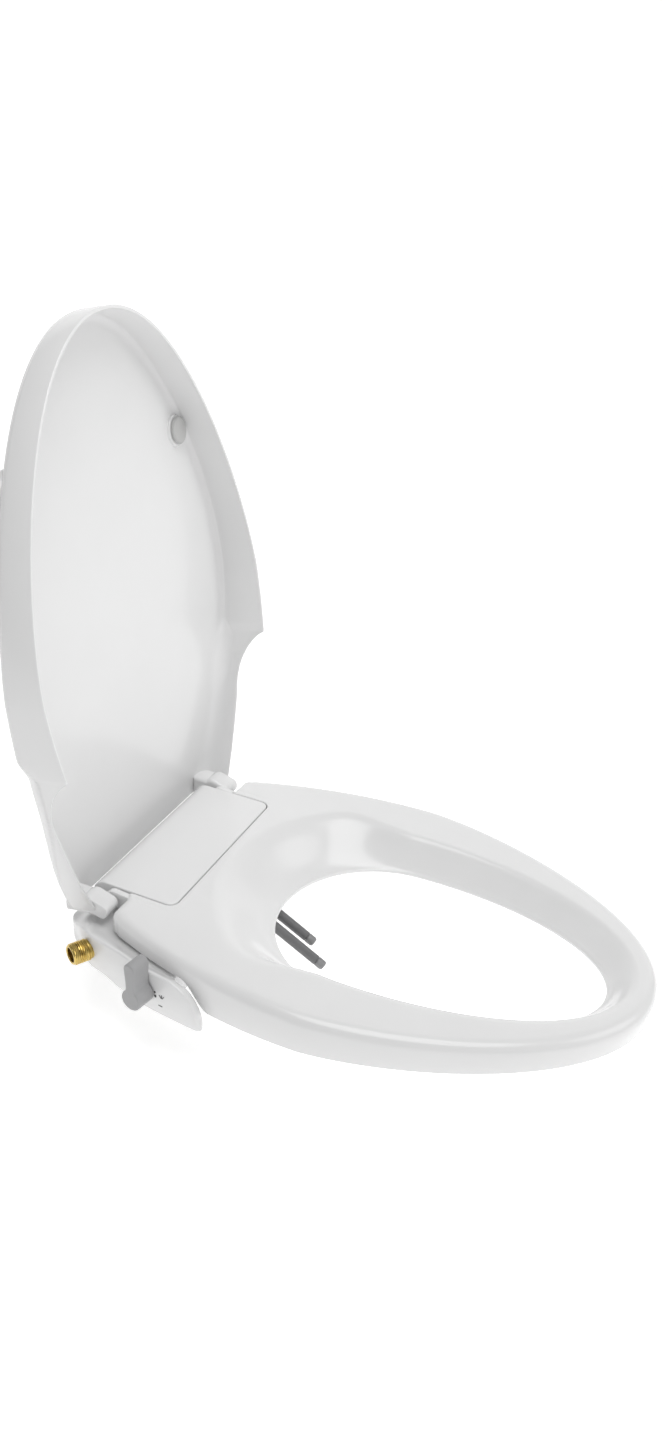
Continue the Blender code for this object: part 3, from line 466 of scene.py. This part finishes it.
def lid_lug_outline():
    """Side view of the lid's hinge eye, with the rounded nose that meets the seat's wing."""
    lower = arc(HINGE_Y, HINGE_Z, 7.5, 200, 360)
    nose = arc(-2, 60.5, 10, 150, 210)
    return split_long(softened(closed(lower, [(4.6, 60), (4.6, 85.5), (-14, 82.3)], nose), 1.5), 1.5)


def make_lid():
    side = oval_side(LID_NOSE_Y, LID_REAR_Y, LID_HALF, LID_REAR_HALF, 3)
    corner = side[-1][0]
    rear = [(corner - inset, LID_REAR_Y) for inset in LID_INSETS]
    rear = np.vstack([rear, even([rear[-1], (0, LID_REAR_Y)], 5)[1:]])
    outline = mirrored(closed(side, rear))
    longer = oval_side(LID_NOSE_Y, 60, LID_HALF, LID_REAR_HALF, 3)
    edge_line = mirrored(closed(longer, [(0, 60)]))
    panel = shell("lid_panel", outline, LID_INSETS, 5, lid_top, lid_under, glossy_abs,
                  place=LID_OPENED, edge_line=edge_line)
    pieces = [panel]
    for side_sign in (-1, 1):
        mirror = Matrix.Diagonal((side_sign, 1, 1, 1))
        pieces.append(shell(
            "lid_lug", lid_lug_outline(), (0.3, 0.8, 1.5, 2.4, 3.4, 4.2), 3,
            lambda x, y, edge, lip: 134.6 - round_drop(edge, 1.2),
            lambda x, y, edge, lip: 112 + round_drop(edge, 4.2),
            glossy_abs, place=LID_OPENED @ mirror @ SIDE_VIEW))
        foot_z = seat_plane(LID_PAD_Y) + LID_PAD_HEIGHT
        foot = LID_OPENED @ (Vector((side_sign * LID_PAD_X, LID_PAD_Y, foot_z)) * MM)
        up = LID_OPENED.to_3x3() @ Z_AXIS
        boss = [(0, 8), (18.5, 8), (18.3, 5.2), (16.0, 4.1), (14.5, 3.0), (13.8, 1.8), (13.5, 0.9),
                (13.2, 0.3), (12.6, 0), (0, 0)]
        pieces.append(turned("lid_boss", boss, foot / MM, up, glossy_abs))
        pad = softened([(0, -0.3), (12, -0.3), (12, -2.6), (10.6, -4), (0, -4)], 1.2, loop=False)
        name = "lid_bumper_left" if side_sign < 0 else "lid_bumper_right"
        fit(turned(name + "_pad", pad, foot / MM, up, soft_pad), "lid", "soft_grey", name)
    fit(joined("lid_moulding", pieces), "lid", "gloss_white", "lid_shell")


# ---------------------------------------------------------------- seat

SEAT_NOSE_Y = -470.5
SEAT_WING_Y = -12
SEAT_WALL = 3.2
SEAT_BOTTOM_Z = 11
COVER_HALF = 103.5
COVER_FRONT_Y = -57.5
COVER_REAR_Y = 29
COVER_CORNER = 9
NOTCH_GAP = 1.1
OPENING_WIDEST_Y = -225


def seat_outline():
    side = oval_side(SEAT_NOSE_Y, SEAT_WING_Y - 10, 185, 131, 3)
    outer = side[-1][0]
    inner = COVER_HALF + NOTCH_GAP
    notch_y = COVER_FRONT_Y - NOTCH_GAP
    corner = COVER_CORNER + NOTCH_GAP
    wing = arc(outer - 12, SEAT_WING_Y - 10, 10, 15, 90)
    wing_inner = arc(inner + 5, SEAT_WING_Y - 5, 5, 90, 180)
    notch = arc(inner - corner, notch_y + corner, corner, 0, -90)
    half = closed(side, wing, wing_inner, notch, [(0, notch_y)])
    return split_long(mirrored(half), 3)


def opening_outline():
    angle = np.linspace(0, 2 * math.pi, 2000)
    reach = np.where(np.cos(angle) > 0, 206, 101)
    loop = np.column_stack([104.5 * np.sin(angle), OPENING_WIDEST_Y - reach * np.cos(angle)])
    return even(loop, 3)[:-1]


def seat_plane(y):
    return 34 + 0.0482 * (y - SEAT_NOSE_Y)


def near_notch(x, y):
    return smooth((112 - np.abs(x)) / 6) * smooth((y + 76) / 10)


def seat_top(x, y, edge, lip):
    radius = 10 - 8.5 * near_notch(x, y)
    height = seat_plane(y) - 0.92 * round_drop(edge, radius)
    width = 22 + 38 * smooth((y + 215) / 90)
    dish = 1 - smooth(lip / width)
    return height - dish * (seat_plane(y) - 14.5) - 0.9 * round_drop(lip, 1.7)


def seat_skirt(x, y):
    rise = smooth((y + 131) / 30)
    return np.where(near_notch(x, y) > 0.5, 44, SEAT_BOTTOM_Z + rise * 23.5)


def seat_under(x, y, edge, lip):
    roof = seat_top(x, y, edge, lip) - SEAT_WALL
    bottom = seat_skirt(x, y) + 0.8 * round_drop(edge, 0.8)
    share = np.clip((edge - SEAT_WALL) / 0.3, 0, 1)
    outer = bottom + (roof - bottom) * share
    flange = SEAT_BOTTOM_Z + 1.2 * round_drop(lip, 1.2)
    inner_share = np.clip((lip - 4.5) / 0.3, 0, 1)
    return np.where(lip < 8, flange + (roof - flange) * inner_share, outer)


def make_seat():
    outline, opening = seat_outline(), opening_outline()
    insets = (0.12, 0.4, 0.8, 1.4, 2.2, 3.2, 3.5, 4.6, 6.0, 7.6, 9.4, 12)
    hole_insets = (0.1, 0.35, 0.8, 1.4, 2.2, 3.3, 4.5, 4.8, 6.5, 9, 12, 16, 20, 24)
    pieces = [shell("seat_body", outline, insets, 4.5, seat_top, seat_under, glossy_abs,
                    opening, hole_insets)]
    eye = closed([(-30, 40), (-30, 52)], arc(HINGE_Y, HINGE_Z, 8.5, 90, -90))
    for side_sign in (-1, 1):
        pieces.append(shell(
            "seat_lug", split_long(eye, 1.5), (0.2, 0.5, 1), 3,
            lambda x, y, edge, lip: 111.3 - round_drop(edge, 1),
            lambda x, y, edge, lip: 104.9 + round_drop(edge, 1),
            glossy_abs, place=Matrix.Diagonal((side_sign, 1, 1, 1)) @ SIDE_VIEW))
    fit(joined("seat_moulding", pieces), "seat", "gloss_white", "seat_shell")


# ---------------------------------------------------------------- base

BASE_TOP_Z = 31
ARM_WALL_Y = (-128, -108, -88, -65, -40, 0, 22, 43)
ARM_WALL_X = (-186, -184, -181, -177, -168, -158, -142, -123)


def base_outline():
    loop = [(18, -94), (110, -94), (134, -88), (145, -78), (150, -62), (152, -40), (150, 0), (142, 22),
            (123, 43), (0, 43), (-123, 43), (-142, 22), (-158, 0), (-168, -40), (-177, -65), (-181, -88),
            (-184, -108), (-186, -124), (-183.5, -128), (-179, -127), (-175.8, -112), (-172.8, -99),
            (-168, -94), (-150, -92), (-110, -94), (-34, -94), (-34, -47), (18, -47)]
    return split_long(softened(loop, 9), 2.5)


def arm_crest(y):
    """Height of the arm's outer crease, which falls in a quarter oval to its tip."""
    share = np.clip((-88 - y) / 40, 0, 1)
    return -1 + 39 * np.sqrt(1 - share ** 2)


def base_top(x, y, edge, lip):
    flat = BASE_TOP_Z - 9 * smooth((y - 18) / 22)
    crest = arm_crest(y) - 14 * smooth((y - 5) / 35)
    from_wall = np.maximum(0, x - np.interp(y, ARM_WALL_Y, ARM_WALL_X))
    rise = 1 - smooth(from_wall / (15 + 7 * smooth((y + 40) / 30)))
    height = np.minimum(flat, crest) + np.maximum(0, crest - flat) * rise
    front = np.where(x > -160, 0.7 * round_drop(np.maximum(0, y + 94), 8), 0)
    return height - front - 0.8 * round_drop(edge, 3)


def base_under(x, y, edge, lip):
    drop = smooth((-145 - x) / 20) * smooth((-10 - y) / 30)
    bottom = 2 - 6 * drop + 0.6 * round_drop(edge, 0.6)
    share = np.clip((edge - 3) / 0.3, 0, 1)
    return bottom + (base_top(x, y, edge, lip) - 3 - bottom) * share


def make_housing():
    along = np.arange(-126, 42, 2.0)
    wall = np.interp(along, ARM_WALL_Y, ARM_WALL_X)
    crest_insets = (6.5, 8.5, 10.5, 12.5, 14.5, 17, 20)
    spots = np.vstack([np.column_stack([wall + inset, along]) for inset in crest_insets])
    insets = (0.12, 0.4, 0.8, 1.3, 2, 3, 3.3, 4.5)
    housing = shell("base_moulding", base_outline(), insets, 4, base_top, base_under, glossy_abs, spots=spots)
    make_marks(fit(housing, "base", "gloss_white", "base_housing"))


def cover_top(x, y, edge, lip):
    back = np.clip(y - (COVER_REAR_Y - 14), 0, 14)
    height = np.minimum(seat_plane(y), 57.3) - 0.95 * (14 - np.sqrt(14 ** 2 - back ** 2))
    return height - 0.9 * round_drop(edge, 1.4)


def cover_under(x, y, edge, lip):
    bottom = 31.4 - 0.6 * smooth((y - 12) / 12)
    share = np.clip((edge - 2.2) / 0.3, 0, 1)
    return bottom + (cover_top(x, y, edge, lip) - 2.2 - bottom) * share


def make_cover():
    front = arc(COVER_HALF - COVER_CORNER, COVER_FRONT_Y + COVER_CORNER, COVER_CORNER, -90, 0)
    half = closed([(0, COVER_FRONT_Y)], front, [(COVER_HALF, COVER_REAR_Y), (0, COVER_REAR_Y)])
    outline = split_long(mirrored(half), 2)
    cover = shell("hinge_cover_moulding", outline, (0.1, 0.3, 0.6, 1.0, 1.5, 2.2, 2.5, 4), 3.5,
                  cover_top, cover_under, glossy_abs)
    fit(cover, "base", "gloss_white", "hinge_cover")


# ---------------------------------------------------------------- control lever

LEVER_BOSS = 10.2
LEVER_WAIST = 5.0
LEVER_FINGER = 6.2
LEVER_TOP = 39


def lever_outline():
    """Front view of the lever: a round boss, a waist and a narrower upright finger."""
    boss = arc(0, 0, LEVER_BOSS, 135, 405)
    right = [(LEVER_WAIST, 10.5), (LEVER_WAIST, 17)]
    finger = arc(0, LEVER_TOP - LEVER_FINGER, LEVER_FINGER, 0, 180)
    left = [(-LEVER_WAIST, 17), (-LEVER_WAIST, 10.5)]
    return split_long(softened(closed(boss, right, finger, left), 1.6), 0.8)


def make_lever():
    across = Z_AXIS.cross(CONTROL_AXIS)
    place = Matrix.Translation(CONTROL_ROOT) @ Matrix((across, Z_AXIS, CONTROL_AXIS)).transposed().to_4x4()
    lever = shell("control_lever", lever_outline(), (0.1, 0.3, 0.6, 1.0, 1.5, 2.2), 1.6,
                  lambda x, y, edge, lip: 20 - round_drop(edge, 1.5),
                  lambda x, y, edge, lip: 0.6 + round_drop(edge, 0.5),
                  satin_abs, place=place)
    fit(lever, "control", "grey_knob", "control_knob")


INK_SUNK = -0.1
INK_PROUD = 0.25
FAN_ROOT = (18, 14)


def drop_mark(across, height, radius):
    """An upright oval drop."""
    return [(across + radius * math.cos(a), height + 1.25 * radius * math.sin(a))
            for a in np.linspace(0, TURN, 12, False)]


def ray_mark(lean, near=0.9, far=4.6, half_width=0.35):
    """One bar of the fan, from near to far of its root."""
    return [(FAN_ROOT[0] + run * math.cos(lean) + half_width * math.sin(lean) * side,
             FAN_ROOT[1] + run * math.sin(lean) - half_width * math.cos(lean) * side)
            for run, side in ((near, -1), (near, 1), (far, 1), (far, -1))]


def mark_outlines():
    """Plain marks beside the lever: two drops, a small fan of spray and a dash in front, one drop behind."""
    drops = [drop_mark(10.6, 18.6, 0.9), drop_mark(11.0, 14.4, 1.2), drop_mark(-23.2, 17.6, 1.0)]
    fan = [ray_mark(math.radians(lean)) for lean in (55, 90, 125)]
    dash = [[(14.2, 6.2), (14.2, 5.4), (18.4, 5.4), (18.4, 6.2)]]
    return drops + fan + dash


def make_marks(housing):
    """Each mark is a thin film of ink, laid on the arm's wall wherever the wall is."""
    across = Z_AXIS.cross(CONTROL_AXIS)
    pieces = []
    for loop in mark_outlines():
        middle_of = np.mean(loop, axis=0)
        if np.cross(*(np.array(loop[:2]) - middle_of)) < 0:
            loop = loop[::-1]
        points = []
        for height in (INK_SUNK, INK_PROUD):
            for right, up in loop:
                start = CONTROL_ROOT + across * right * MM + CONTROL_AXIS * 0.03
                start.z = up * MM
                found, at, _, _ = housing.ray_cast(start, -CONTROL_AXIS)
                assert found, "a mark misses the arm"
                points.append((at + CONTROL_AXIS * height * MM) / MM)
        count = len(loop)
        faces = [tuple(range(count))[::-1], tuple(range(count, 2 * count))]
        faces += [(i, (i + 1) % count, (i + 1) % count + count, i + count) for i in range(count)]
        pieces.append(add_piece("mark", points, faces, print_ink))
    fit(joined("turn_marks", pieces), "base", "dark_plastic")


# ---------------------------------------------------------------- threads, springs and repeats

def helix_tree():
    """Geometry nodes for a wire or a thread ridge that winds along Z."""
    tree = bpy.data.node_groups.new("wound_ridge", "GeometryNodeTree")
    for name, kind in (("Radius", "NodeSocketFloat"), ("Length", "NodeSocketFloat"),
                       ("Turns", "NodeSocketFloat"), ("Thickness", "NodeSocketFloat"),
                       ("Sides", "NodeSocketInt"), ("Finish", "NodeSocketMaterial")):
        tree.interface.new_socket(name, in_out="INPUT", socket_type=kind)
    tree.interface.new_socket("Geometry", in_out="OUTPUT", socket_type="NodeSocketGeometry")
    sizes = add(tree, "NodeGroupInput")
    spiral = add(tree, "GeometryNodeCurveSpiral", inputs={
        "Resolution": 40, "Rotations": sizes.outputs["Turns"], "Start Radius": sizes.outputs["Radius"],
        "End Radius": sizes.outputs["Radius"], "Height": sizes.outputs["Length"]})
    section = add(tree, "GeometryNodeCurvePrimitiveCircle", inputs={
        "Resolution": sizes.outputs["Sides"], "Radius": sizes.outputs["Thickness"]})
    swept = add(tree, "GeometryNodeCurveToMesh", inputs={
        "Curve": spiral.outputs["Curve"], "Profile Curve": section.outputs["Curve"], "Fill Caps": True})
    real = add(tree, "GeometryNodeRealizeInstances", inputs={"Geometry": swept.outputs["Mesh"]})
    coated = add(tree, "GeometryNodeSetMaterial", inputs={
        "Geometry": real.outputs["Geometry"], "Material": sizes.outputs["Finish"]})
    add(tree, "NodeGroupOutput", inputs={"Geometry": coated.outputs["Geometry"]})
    return tree


def repeat_tree():
    """Geometry nodes that put one small part on every point of a mesh."""
    tree = bpy.data.node_groups.new("part_on_each_point", "GeometryNodeTree")
    for name, kind in (("Points", "NodeSocketGeometry"), ("Part", "NodeSocketObject"),
                       ("Size", "NodeSocketFloat"), ("Finish", "NodeSocketMaterial")):
        tree.interface.new_socket(name, in_out="INPUT", socket_type=kind)
    tree.interface.new_socket("Geometry", in_out="OUTPUT", socket_type="NodeSocketGeometry")
    given = add(tree, "NodeGroupInput")
    part = add(tree, "GeometryNodeObjectInfo", inputs={"Object": given.outputs["Part"]})
    placed = add(tree, "GeometryNodeInstanceOnPoints", inputs={
        "Points": given.outputs["Points"], "Instance": part.outputs["Geometry"],
        "Scale": given.outputs["Size"]})
    real = add(tree, "GeometryNodeRealizeInstances", inputs={"Geometry": placed.outputs["Instances"]})
    coated = add(tree, "GeometryNodeSetMaterial", inputs={
        "Geometry": real.outputs["Geometry"], "Material": given.outputs["Finish"]})
    add(tree, "NodeGroupOutput", inputs={"Geometry": coated.outputs["Geometry"]})
    return tree


def grown(name, tree, values, points=(), place=None, sharp=50):
    """Bakes a node tree with these inputs into a plain mesh piece."""
    seed = bpy.data.meshes.new(name)
    seed.from_pydata([tuple(point) for point in points], [], [])
    holder = bpy.data.objects.new(name + "_holder", seed)
    bpy.context.scene.collection.objects.link(holder)
    modifier = holder.modifiers.new("growth", "NODES")
    modifier.node_group = tree
    for item in tree.interface.items_tree:
        if item.in_out == "INPUT" and item.name in values:
            modifier[item.identifier] = values[item.name]
    bpy.context.view_layer.update()
    mesh = bpy.data.meshes.new_from_object(holder.evaluated_get(bpy.context.evaluated_depsgraph_get()))
    holder.modifiers.remove(modifier)
    bpy.data.objects.remove(holder)
    mesh.name = name
    work = bmesh.new()
    work.from_mesh(mesh)
    bmesh.ops.remove_doubles(work, verts=work.verts, dist=1e-6)
    bmesh.ops.recalc_face_normals(work, faces=work.faces)
    work.to_mesh(mesh)
    work.free()
    if place is not None:
        mesh.transform(place)
    mesh.shade_smooth()
    mesh.set_sharp_from_angle(angle=math.radians(sharp))
    piece = bpy.data.objects.new(name, mesh)
    bpy.context.scene.collection.objects.link(piece)
    return piece


wound_ridge = helix_tree()
part_on_each_point = repeat_tree()


def winding(name, start, axis, radius, length, turns, thickness, sides, finish):
    """A spring's wire or a screw thread's ridge; sizes in millimetres."""
    turn = Z_AXIS.rotation_difference(Vector(axis)).to_matrix().to_4x4()
    values = {"Radius": radius * MM, "Length": length * MM, "Turns": float(turns),
              "Thickness": thickness * MM, "Sides": sides, "Finish": finish}
    return grown(name, wound_ridge, values, place=Matrix.Translation(Vector(start) * MM) @ turn)


# ---------------------------------------------------------------- water inlet

INLET_ROOT = Vector((-156, 3, 19.8))
INLET_AXIS = Vector((-0.86, 0.51, 0)).normalized()


def make_inlet():
    """Half-inch fitting: collar, parallel thread of 1.81 mm pitch, chamfered end and deep bore."""
    profile = softened([(7, -12), (9.4, -12), (9.4, 1.2), (10.4, 1.2), (10.4, 2.4), (9.5, 2.4),
                        (9.5, 17.2), (8.9, 18), (7.5, 18), (7, 17.4)], 0.35)
    core = turned("inlet_core", profile, INLET_ROOT, INLET_AXIS, turned_brass)
    thread = winding("inlet_thread", INLET_ROOT + INLET_AXIS * 3.2, INLET_AXIS, 9.55, 13.2, 7.3, 0.92, 6,
                     turned_brass)
    end = turned("inlet_stop", [(0, -6), (7.05, -6), (7.05, -5), (0, -5)], INLET_ROOT, INLET_AXIS,
                 black_rubber)
    fit(joined("inlet_brass", [core, thread]), "base", "brass", "inlet_fitting")
    fit(end, "base", "black_rubber")
    angle = np.radians(np.arange(0, 360, 60))
    hexagon = split_long(softened(np.column_stack([11.2 * np.cos(angle), 11.2 * np.sin(angle)]), 0.8), 1.5)
    round_hole = arc(0, 0, 9.5, 0, 360)[:-1]
    start = INLET_ROOT - INLET_AXIS * 9.9
    place = Matrix.Translation(start * MM) @ Z_AXIS.rotation_difference(INLET_AXIS).to_matrix().to_4x4()
    nut = shell("inlet_hex_nut", hexagon, (0.15,), 2, lambda x, y, edge, lip: 3 - round_drop(edge, 0.3),
                lambda x, y, edge, lip: 0.3 * round_drop(edge, 0.3), turned_brass, round_hole, (0.15,), place)
    fit(nut, "base", "brass", "inlet_nut")


# ---------------------------------------------------------------- nozzles

NOZZLE_START = {"rear": Vector((-17, -116, -1.5)), "front": Vector((1, -116, -1.5))}
NOZZLE_REACH = {"rear": 68, "front": 47}


def make_nozzles():
    """Each nozzle: a rod with a collar at its root, a domed tip, and nine spray holes in three rows."""
    for name, start in NOZZLE_START.items():
        reach = NOZZLE_REACH[name]
        rod = softened([(0, -14), (6.2, -14), (6.2, -12.4), (5, -12.4), (5, reach - 9.3),
                        (0, reach - 9.3)], 0.3, loop=False)
        body = turned(f"{name}_nozzle_rod", rod, start, NOZZLE_AXIS, acetal)
        fit(body, f"{name}_spray", "dark_plastic", f"{name}_nozzle")
        tip = softened([(0, reach - 9), (5, reach - 9), (5, reach - 2.2), (4.1, reach - 0.4),
                        (2.6, reach), (0, reach)], 0.9, loop=False)
        cap = turned(f"{name}_nozzle_cap", tip, start, NOZZLE_AXIS, acetal_tip)
        up = NOZZLE_AXIS.cross(X_AXIS)
        holes = []
        for row in range(3):
            for column in (-1, 0, 1):
                beside = 0.9 * column
                height = math.sqrt(4.97 ** 2 - beside ** 2)
                at = start + NOZZLE_AXIS * (reach - 7 + 1.7 * row) + X_AXIS * beside + up * height
                holes.append(at * MM)
        rim_profile = softened([(0.2, -0.5), (0.38, -0.5), (0.38, 0.06), (0.2, 0.06)], 0.03)
        rim = turned("spray_hole", rim_profile, (0, 0, 0), up, acetal, 16)
        values = {"Part": rim, "Size": 1.0, "Finish": acetal}
        spray = grown(f"{name}_spray_holes", part_on_each_point, values, holes)
        bpy.data.objects.remove(rim)
        fit(joined(f"{name}_nozzle_cap", [cap, spray]), f"{name}_spray", "dark_plastic", f"{name}_nozzle_tip")
        wire = winding(f"{name}_return_spring", start - NOZZLE_AXIS * 11.6, NOZZLE_AXIS,
                       5.9, 3.8, 4, 0.45, 10, drawn_steel)
        fit(wire, "base", "steel", f"{name}_nozzle_spring")


# ---------------------------------------------------------------- fixings and pads

def make_bolts():
    for side_sign, name in ((-1, "left"), (1, "right")):
        x = 70 * side_sign
        head = softened([(0, 34.8), (8, 34.8), (9, 33.3), (9, 31.3), (3.6, 31.3), (3.6, -61),
                         (3, -62), (0, -62)], 0.6, loop=False)
        core = turned("bolt_core", head, (x, 0, 0), Z_AXIS, ivory_nylon, 40)
        ridge = winding("bolt_ridge", (x, 0, -61), Z_AXIS, 3.55, 60, 40, 0.42, 4, ivory_nylon)
        fit(joined(f"mount_bolt_{name}_threaded", [core, ridge]), "base", "nylon", f"mount_bolt_{name}")
        washer = softened([(4.3, -18), (17, -18), (10, -34), (4.3, -34)], 1.2)
        soft_washer = turned(f"tapered_washer_{name}_soft", washer, (x, 0, 0), Z_AXIS, black_rubber)
        fit(soft_washer, "base", "black_rubber", f"tapered_washer_{name}")
        barrel = softened([(4.3, -34.3), (8, -34.3), (8, -44), (7, -46), (4.3, -46)], 0.8)
        parts = [turned("nut_barrel", barrel, (x, 0, 0), Z_AXIS, ivory_nylon)]
        blade = softened([(6, -49.6), (18, -49.6), (18, -37.4), (12, -37.4), (6, -41)], 4, 7)
        for wing in (-1, 1):
            upright = Matrix(((wing, 0, 0, x * MM), (0, 0, 1, 0), (0, 1, 0, 0), (0, 0, 0, 1)))
            parts.append(shell("nut_blade", split_long(blade, 1), (0.2, 0.6, 1.2), 2,
                               lambda u, v, edge, lip: 1.6 - round_drop(edge, 1.2),
                               lambda u, v, edge, lip: -1.6 + round_drop(edge, 1.2),
                               ivory_nylon, place=upright))
        fit(joined(f"wing_nut_{name}_ribbed", parts), "base", "nylon", f"wing_nut_{name}")


def middle(node):
    low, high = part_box(node)
    return (low + high) / 2


def make_repeats():
    """Six cross-recess screws under the tray, and four pads under the seat, each on its node's place."""
    nodes = [f"tray_screw_{number}" for number in range(1, 7)]
    dome = softened([(0, 0.5), (3, 0.5), (3, 0.1), (2.2, -0.45), (0, -0.5)], 0.3, loop=False)
    screw = turned("screw_head", dome, (0, 0, 0), Z_AXIS, drawn_steel, 32)
    cross = closed([(-1.7, -0.3), (-0.3, -0.3), (-0.3, -1.7), (0.3, -1.7), (0.3, -0.3), (1.7, -0.3),
                    (1.7, 0.3), (0.3, 0.3), (0.3, 1.7), (-0.3, 1.7), (-0.3, 0.3), (-1.7, 0.3)])
    cutter = shell("screw_cross", split_long(cross, 0.5), (0.1,), 0.3, lambda x, y, edge, lip: -0.05 + 0 * x,
                   lambda x, y, edge, lip: -0.9 + 0 * x, drawn_steel)
    carve(screw, cutter)
    values = {"Part": screw, "Size": 1.0, "Finish": drawn_steel}
    screws = grown("tray_screws", part_on_each_point, values, [middle(node) for node in nodes])
    fit(screws, "base", "steel", *nodes)
    bpy.data.objects.remove(screw)
    nodes = [f"seat_bumper_{place}" for place in ("front_left", "front_right", "rear_left", "rear_right")]
    low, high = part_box(nodes[0])
    half = (high.z - low.z) / 2 / MM
    radius = (high.x - low.x) / 2 / MM
    dome = softened([(0, -half), (radius - 1.5, -half), (radius, -half + 1.5), (radius, half),
                     (0, half)], 1.3, loop=False)
    pad = turned("seat_pad", dome, (0, 0, 0), Z_AXIS, soft_pad, 48)
    values = {"Part": pad, "Size": 1.0, "Finish": soft_pad}
    pads = grown("seat_pads", part_on_each_point, values, [middle(node) for node in nodes])
    fit(pads, "seat", "soft_grey", *nodes)
    bpy.data.objects.remove(pad)


def carve(piece, cutter):
    """Cuts one closed piece out of another for good."""
    modifier = piece.modifiers.new("carve", "BOOLEAN")
    modifier.object = cutter
    modifier.solver = "EXACT"
    bpy.context.view_layer.update()
    mesh = bpy.data.meshes.new_from_object(piece.evaluated_get(bpy.context.evaluated_depsgraph_get()))
    piece.modifiers.remove(modifier)
    piece.data = mesh
    bpy.data.objects.remove(cutter)


# ---------------------------------------------------------------- finishes of the nodes that stay

KEPT = {
    "base_tray": glossy_abs, "seat_base_ring": glossy_abs, "nozzle_carrier": glossy_abs,
    "lid_damper_cradle": glossy_abs, "seat_damper_cradle": glossy_abs,
    "base_pad_left": black_rubber, "base_pad_centre": black_rubber, "base_pad_right": black_rubber,
    "rear_nozzle_seal": black_rubber, "front_nozzle_seal": black_rubber,
    "supply_hose": milky_hose, "rear_nozzle_hose": milky_hose, "front_nozzle_hose": milky_hose,
    "valve_body": ivory_nylon, "valve_stem": turned_brass,
    "lid_damper": ivory_nylon, "seat_damper": ivory_nylon,
    "seat_shaft": drawn_steel, "lid_shaft": drawn_steel,
    "seat_bush": ivory_nylon, "lid_bush": ivory_nylon,
}


def refinish_nodes():
    for name, material in KEPT.items():
        mesh = frame["nodes"][name].data
        mesh.materials.clear()
        mesh.materials.append(material)


# ---------------------------------------------------------------- studio

FLOOR_Z = -0.065
CAMERA_AT = Vector((-0.797, -0.455, 0.6293))


def make_floor():
    """Seamless pale sweep: level under the object, then curved up far behind it."""
    profile = [(-6.0, 0.0)]
    profile += [(3.0 + 2.0 * math.sin(a), 2.0 - 2.0 * math.cos(a)) for a in np.linspace(0, 1.45, 24)]
    profile.append((profile[-1][0] + 0.5, profile[-1][1] + 4))
    forward = Vector((0.90, 0.44, 0)).normalized()
    across = Vector((-forward.y, forward.x, 0))
    points = []
    for run, rise in profile:
        for width in (-7, 7):
            at = forward * run + across * width
            points.append((at.x, at.y, FLOOR_Z + rise))
    faces = [(2 * i, 2 * i + 1, 2 * i + 3, 2 * i + 2) for i in range(len(profile) - 1)]
    mesh = bpy.data.meshes.new("floor")
    mesh.from_pydata(points, [], faces)
    mesh.shade_smooth()
    mesh.materials.append(surface("backlit_white_paper", "#FBFBFB", "#F9F9F9", 400, 3, (0.8, 0.9), 0.01,
                                  {"Emission Strength": 0.5}))
    floor = bpy.data.objects.new("floor", mesh)
    bpy.context.scene.collection.objects.link(floor)


def add_light(name, at, size, power):
    lamp = bpy.data.lights.new(name, "AREA")
    lamp.shape = "DISK"
    lamp.size = size
    lamp.energy = power
    thing = bpy.data.objects.new(name, lamp)
    thing.location = at
    aim = Vector((0, -0.1, 0.15)) - Vector(at)
    thing.rotation_euler = aim.to_track_quat("-Z", "Y").to_euler()
    bpy.context.scene.collection.objects.link(thing)


def make_studio():
    world = bpy.data.worlds.new("white_room")
    world.use_nodes = True
    world.node_tree.nodes["Background"].inputs["Color"].default_value = linear("#FFFFFF")
    world.node_tree.nodes["Background"].inputs["Strength"].default_value = 0.36
    bpy.context.scene.world = world
    bpy.context.scene.view_settings.view_transform = "Standard"
    add_light("overhead", (-0.3, -0.6, 2.4), 2.0, 30)
    add_light("window_side", (0.6, -2.2, 1.5), 1.6, 11)


def make_camera():
    azimuth, elevation, roll = math.radians(-63.76), math.radians(34.14), math.radians(0.61)
    lens = bpy.data.cameras.new("camera")
    lens.sensor_fit = "VERTICAL"
    lens.sensor_height = 36
    lens.lens = 27.04
    lens.shift_x = 0.0714
    lens.shift_y = 0.108
    lens.clip_start = 0.01
    camera = bpy.data.objects.new("camera", lens)
    look = Vector((-math.sin(azimuth) * math.cos(elevation), math.cos(azimuth) * math.cos(elevation),
                   -math.sin(elevation)))
    turn = look.to_track_quat("-Z", "Y").to_matrix() @ Matrix.Rotation(roll, 3, "Z")
    camera.matrix_world = Matrix.Translation(CAMERA_AT) @ turn.to_4x4()
    bpy.context.scene.collection.objects.link(camera)
    bpy.context.scene.camera = camera


make_camera()
make_studio()
make_floor()
make_lid()
make_seat()
make_housing()
make_cover()
make_lever()
make_inlet()
make_nozzles()
make_bolts()
make_repeats()
refinish_nodes()
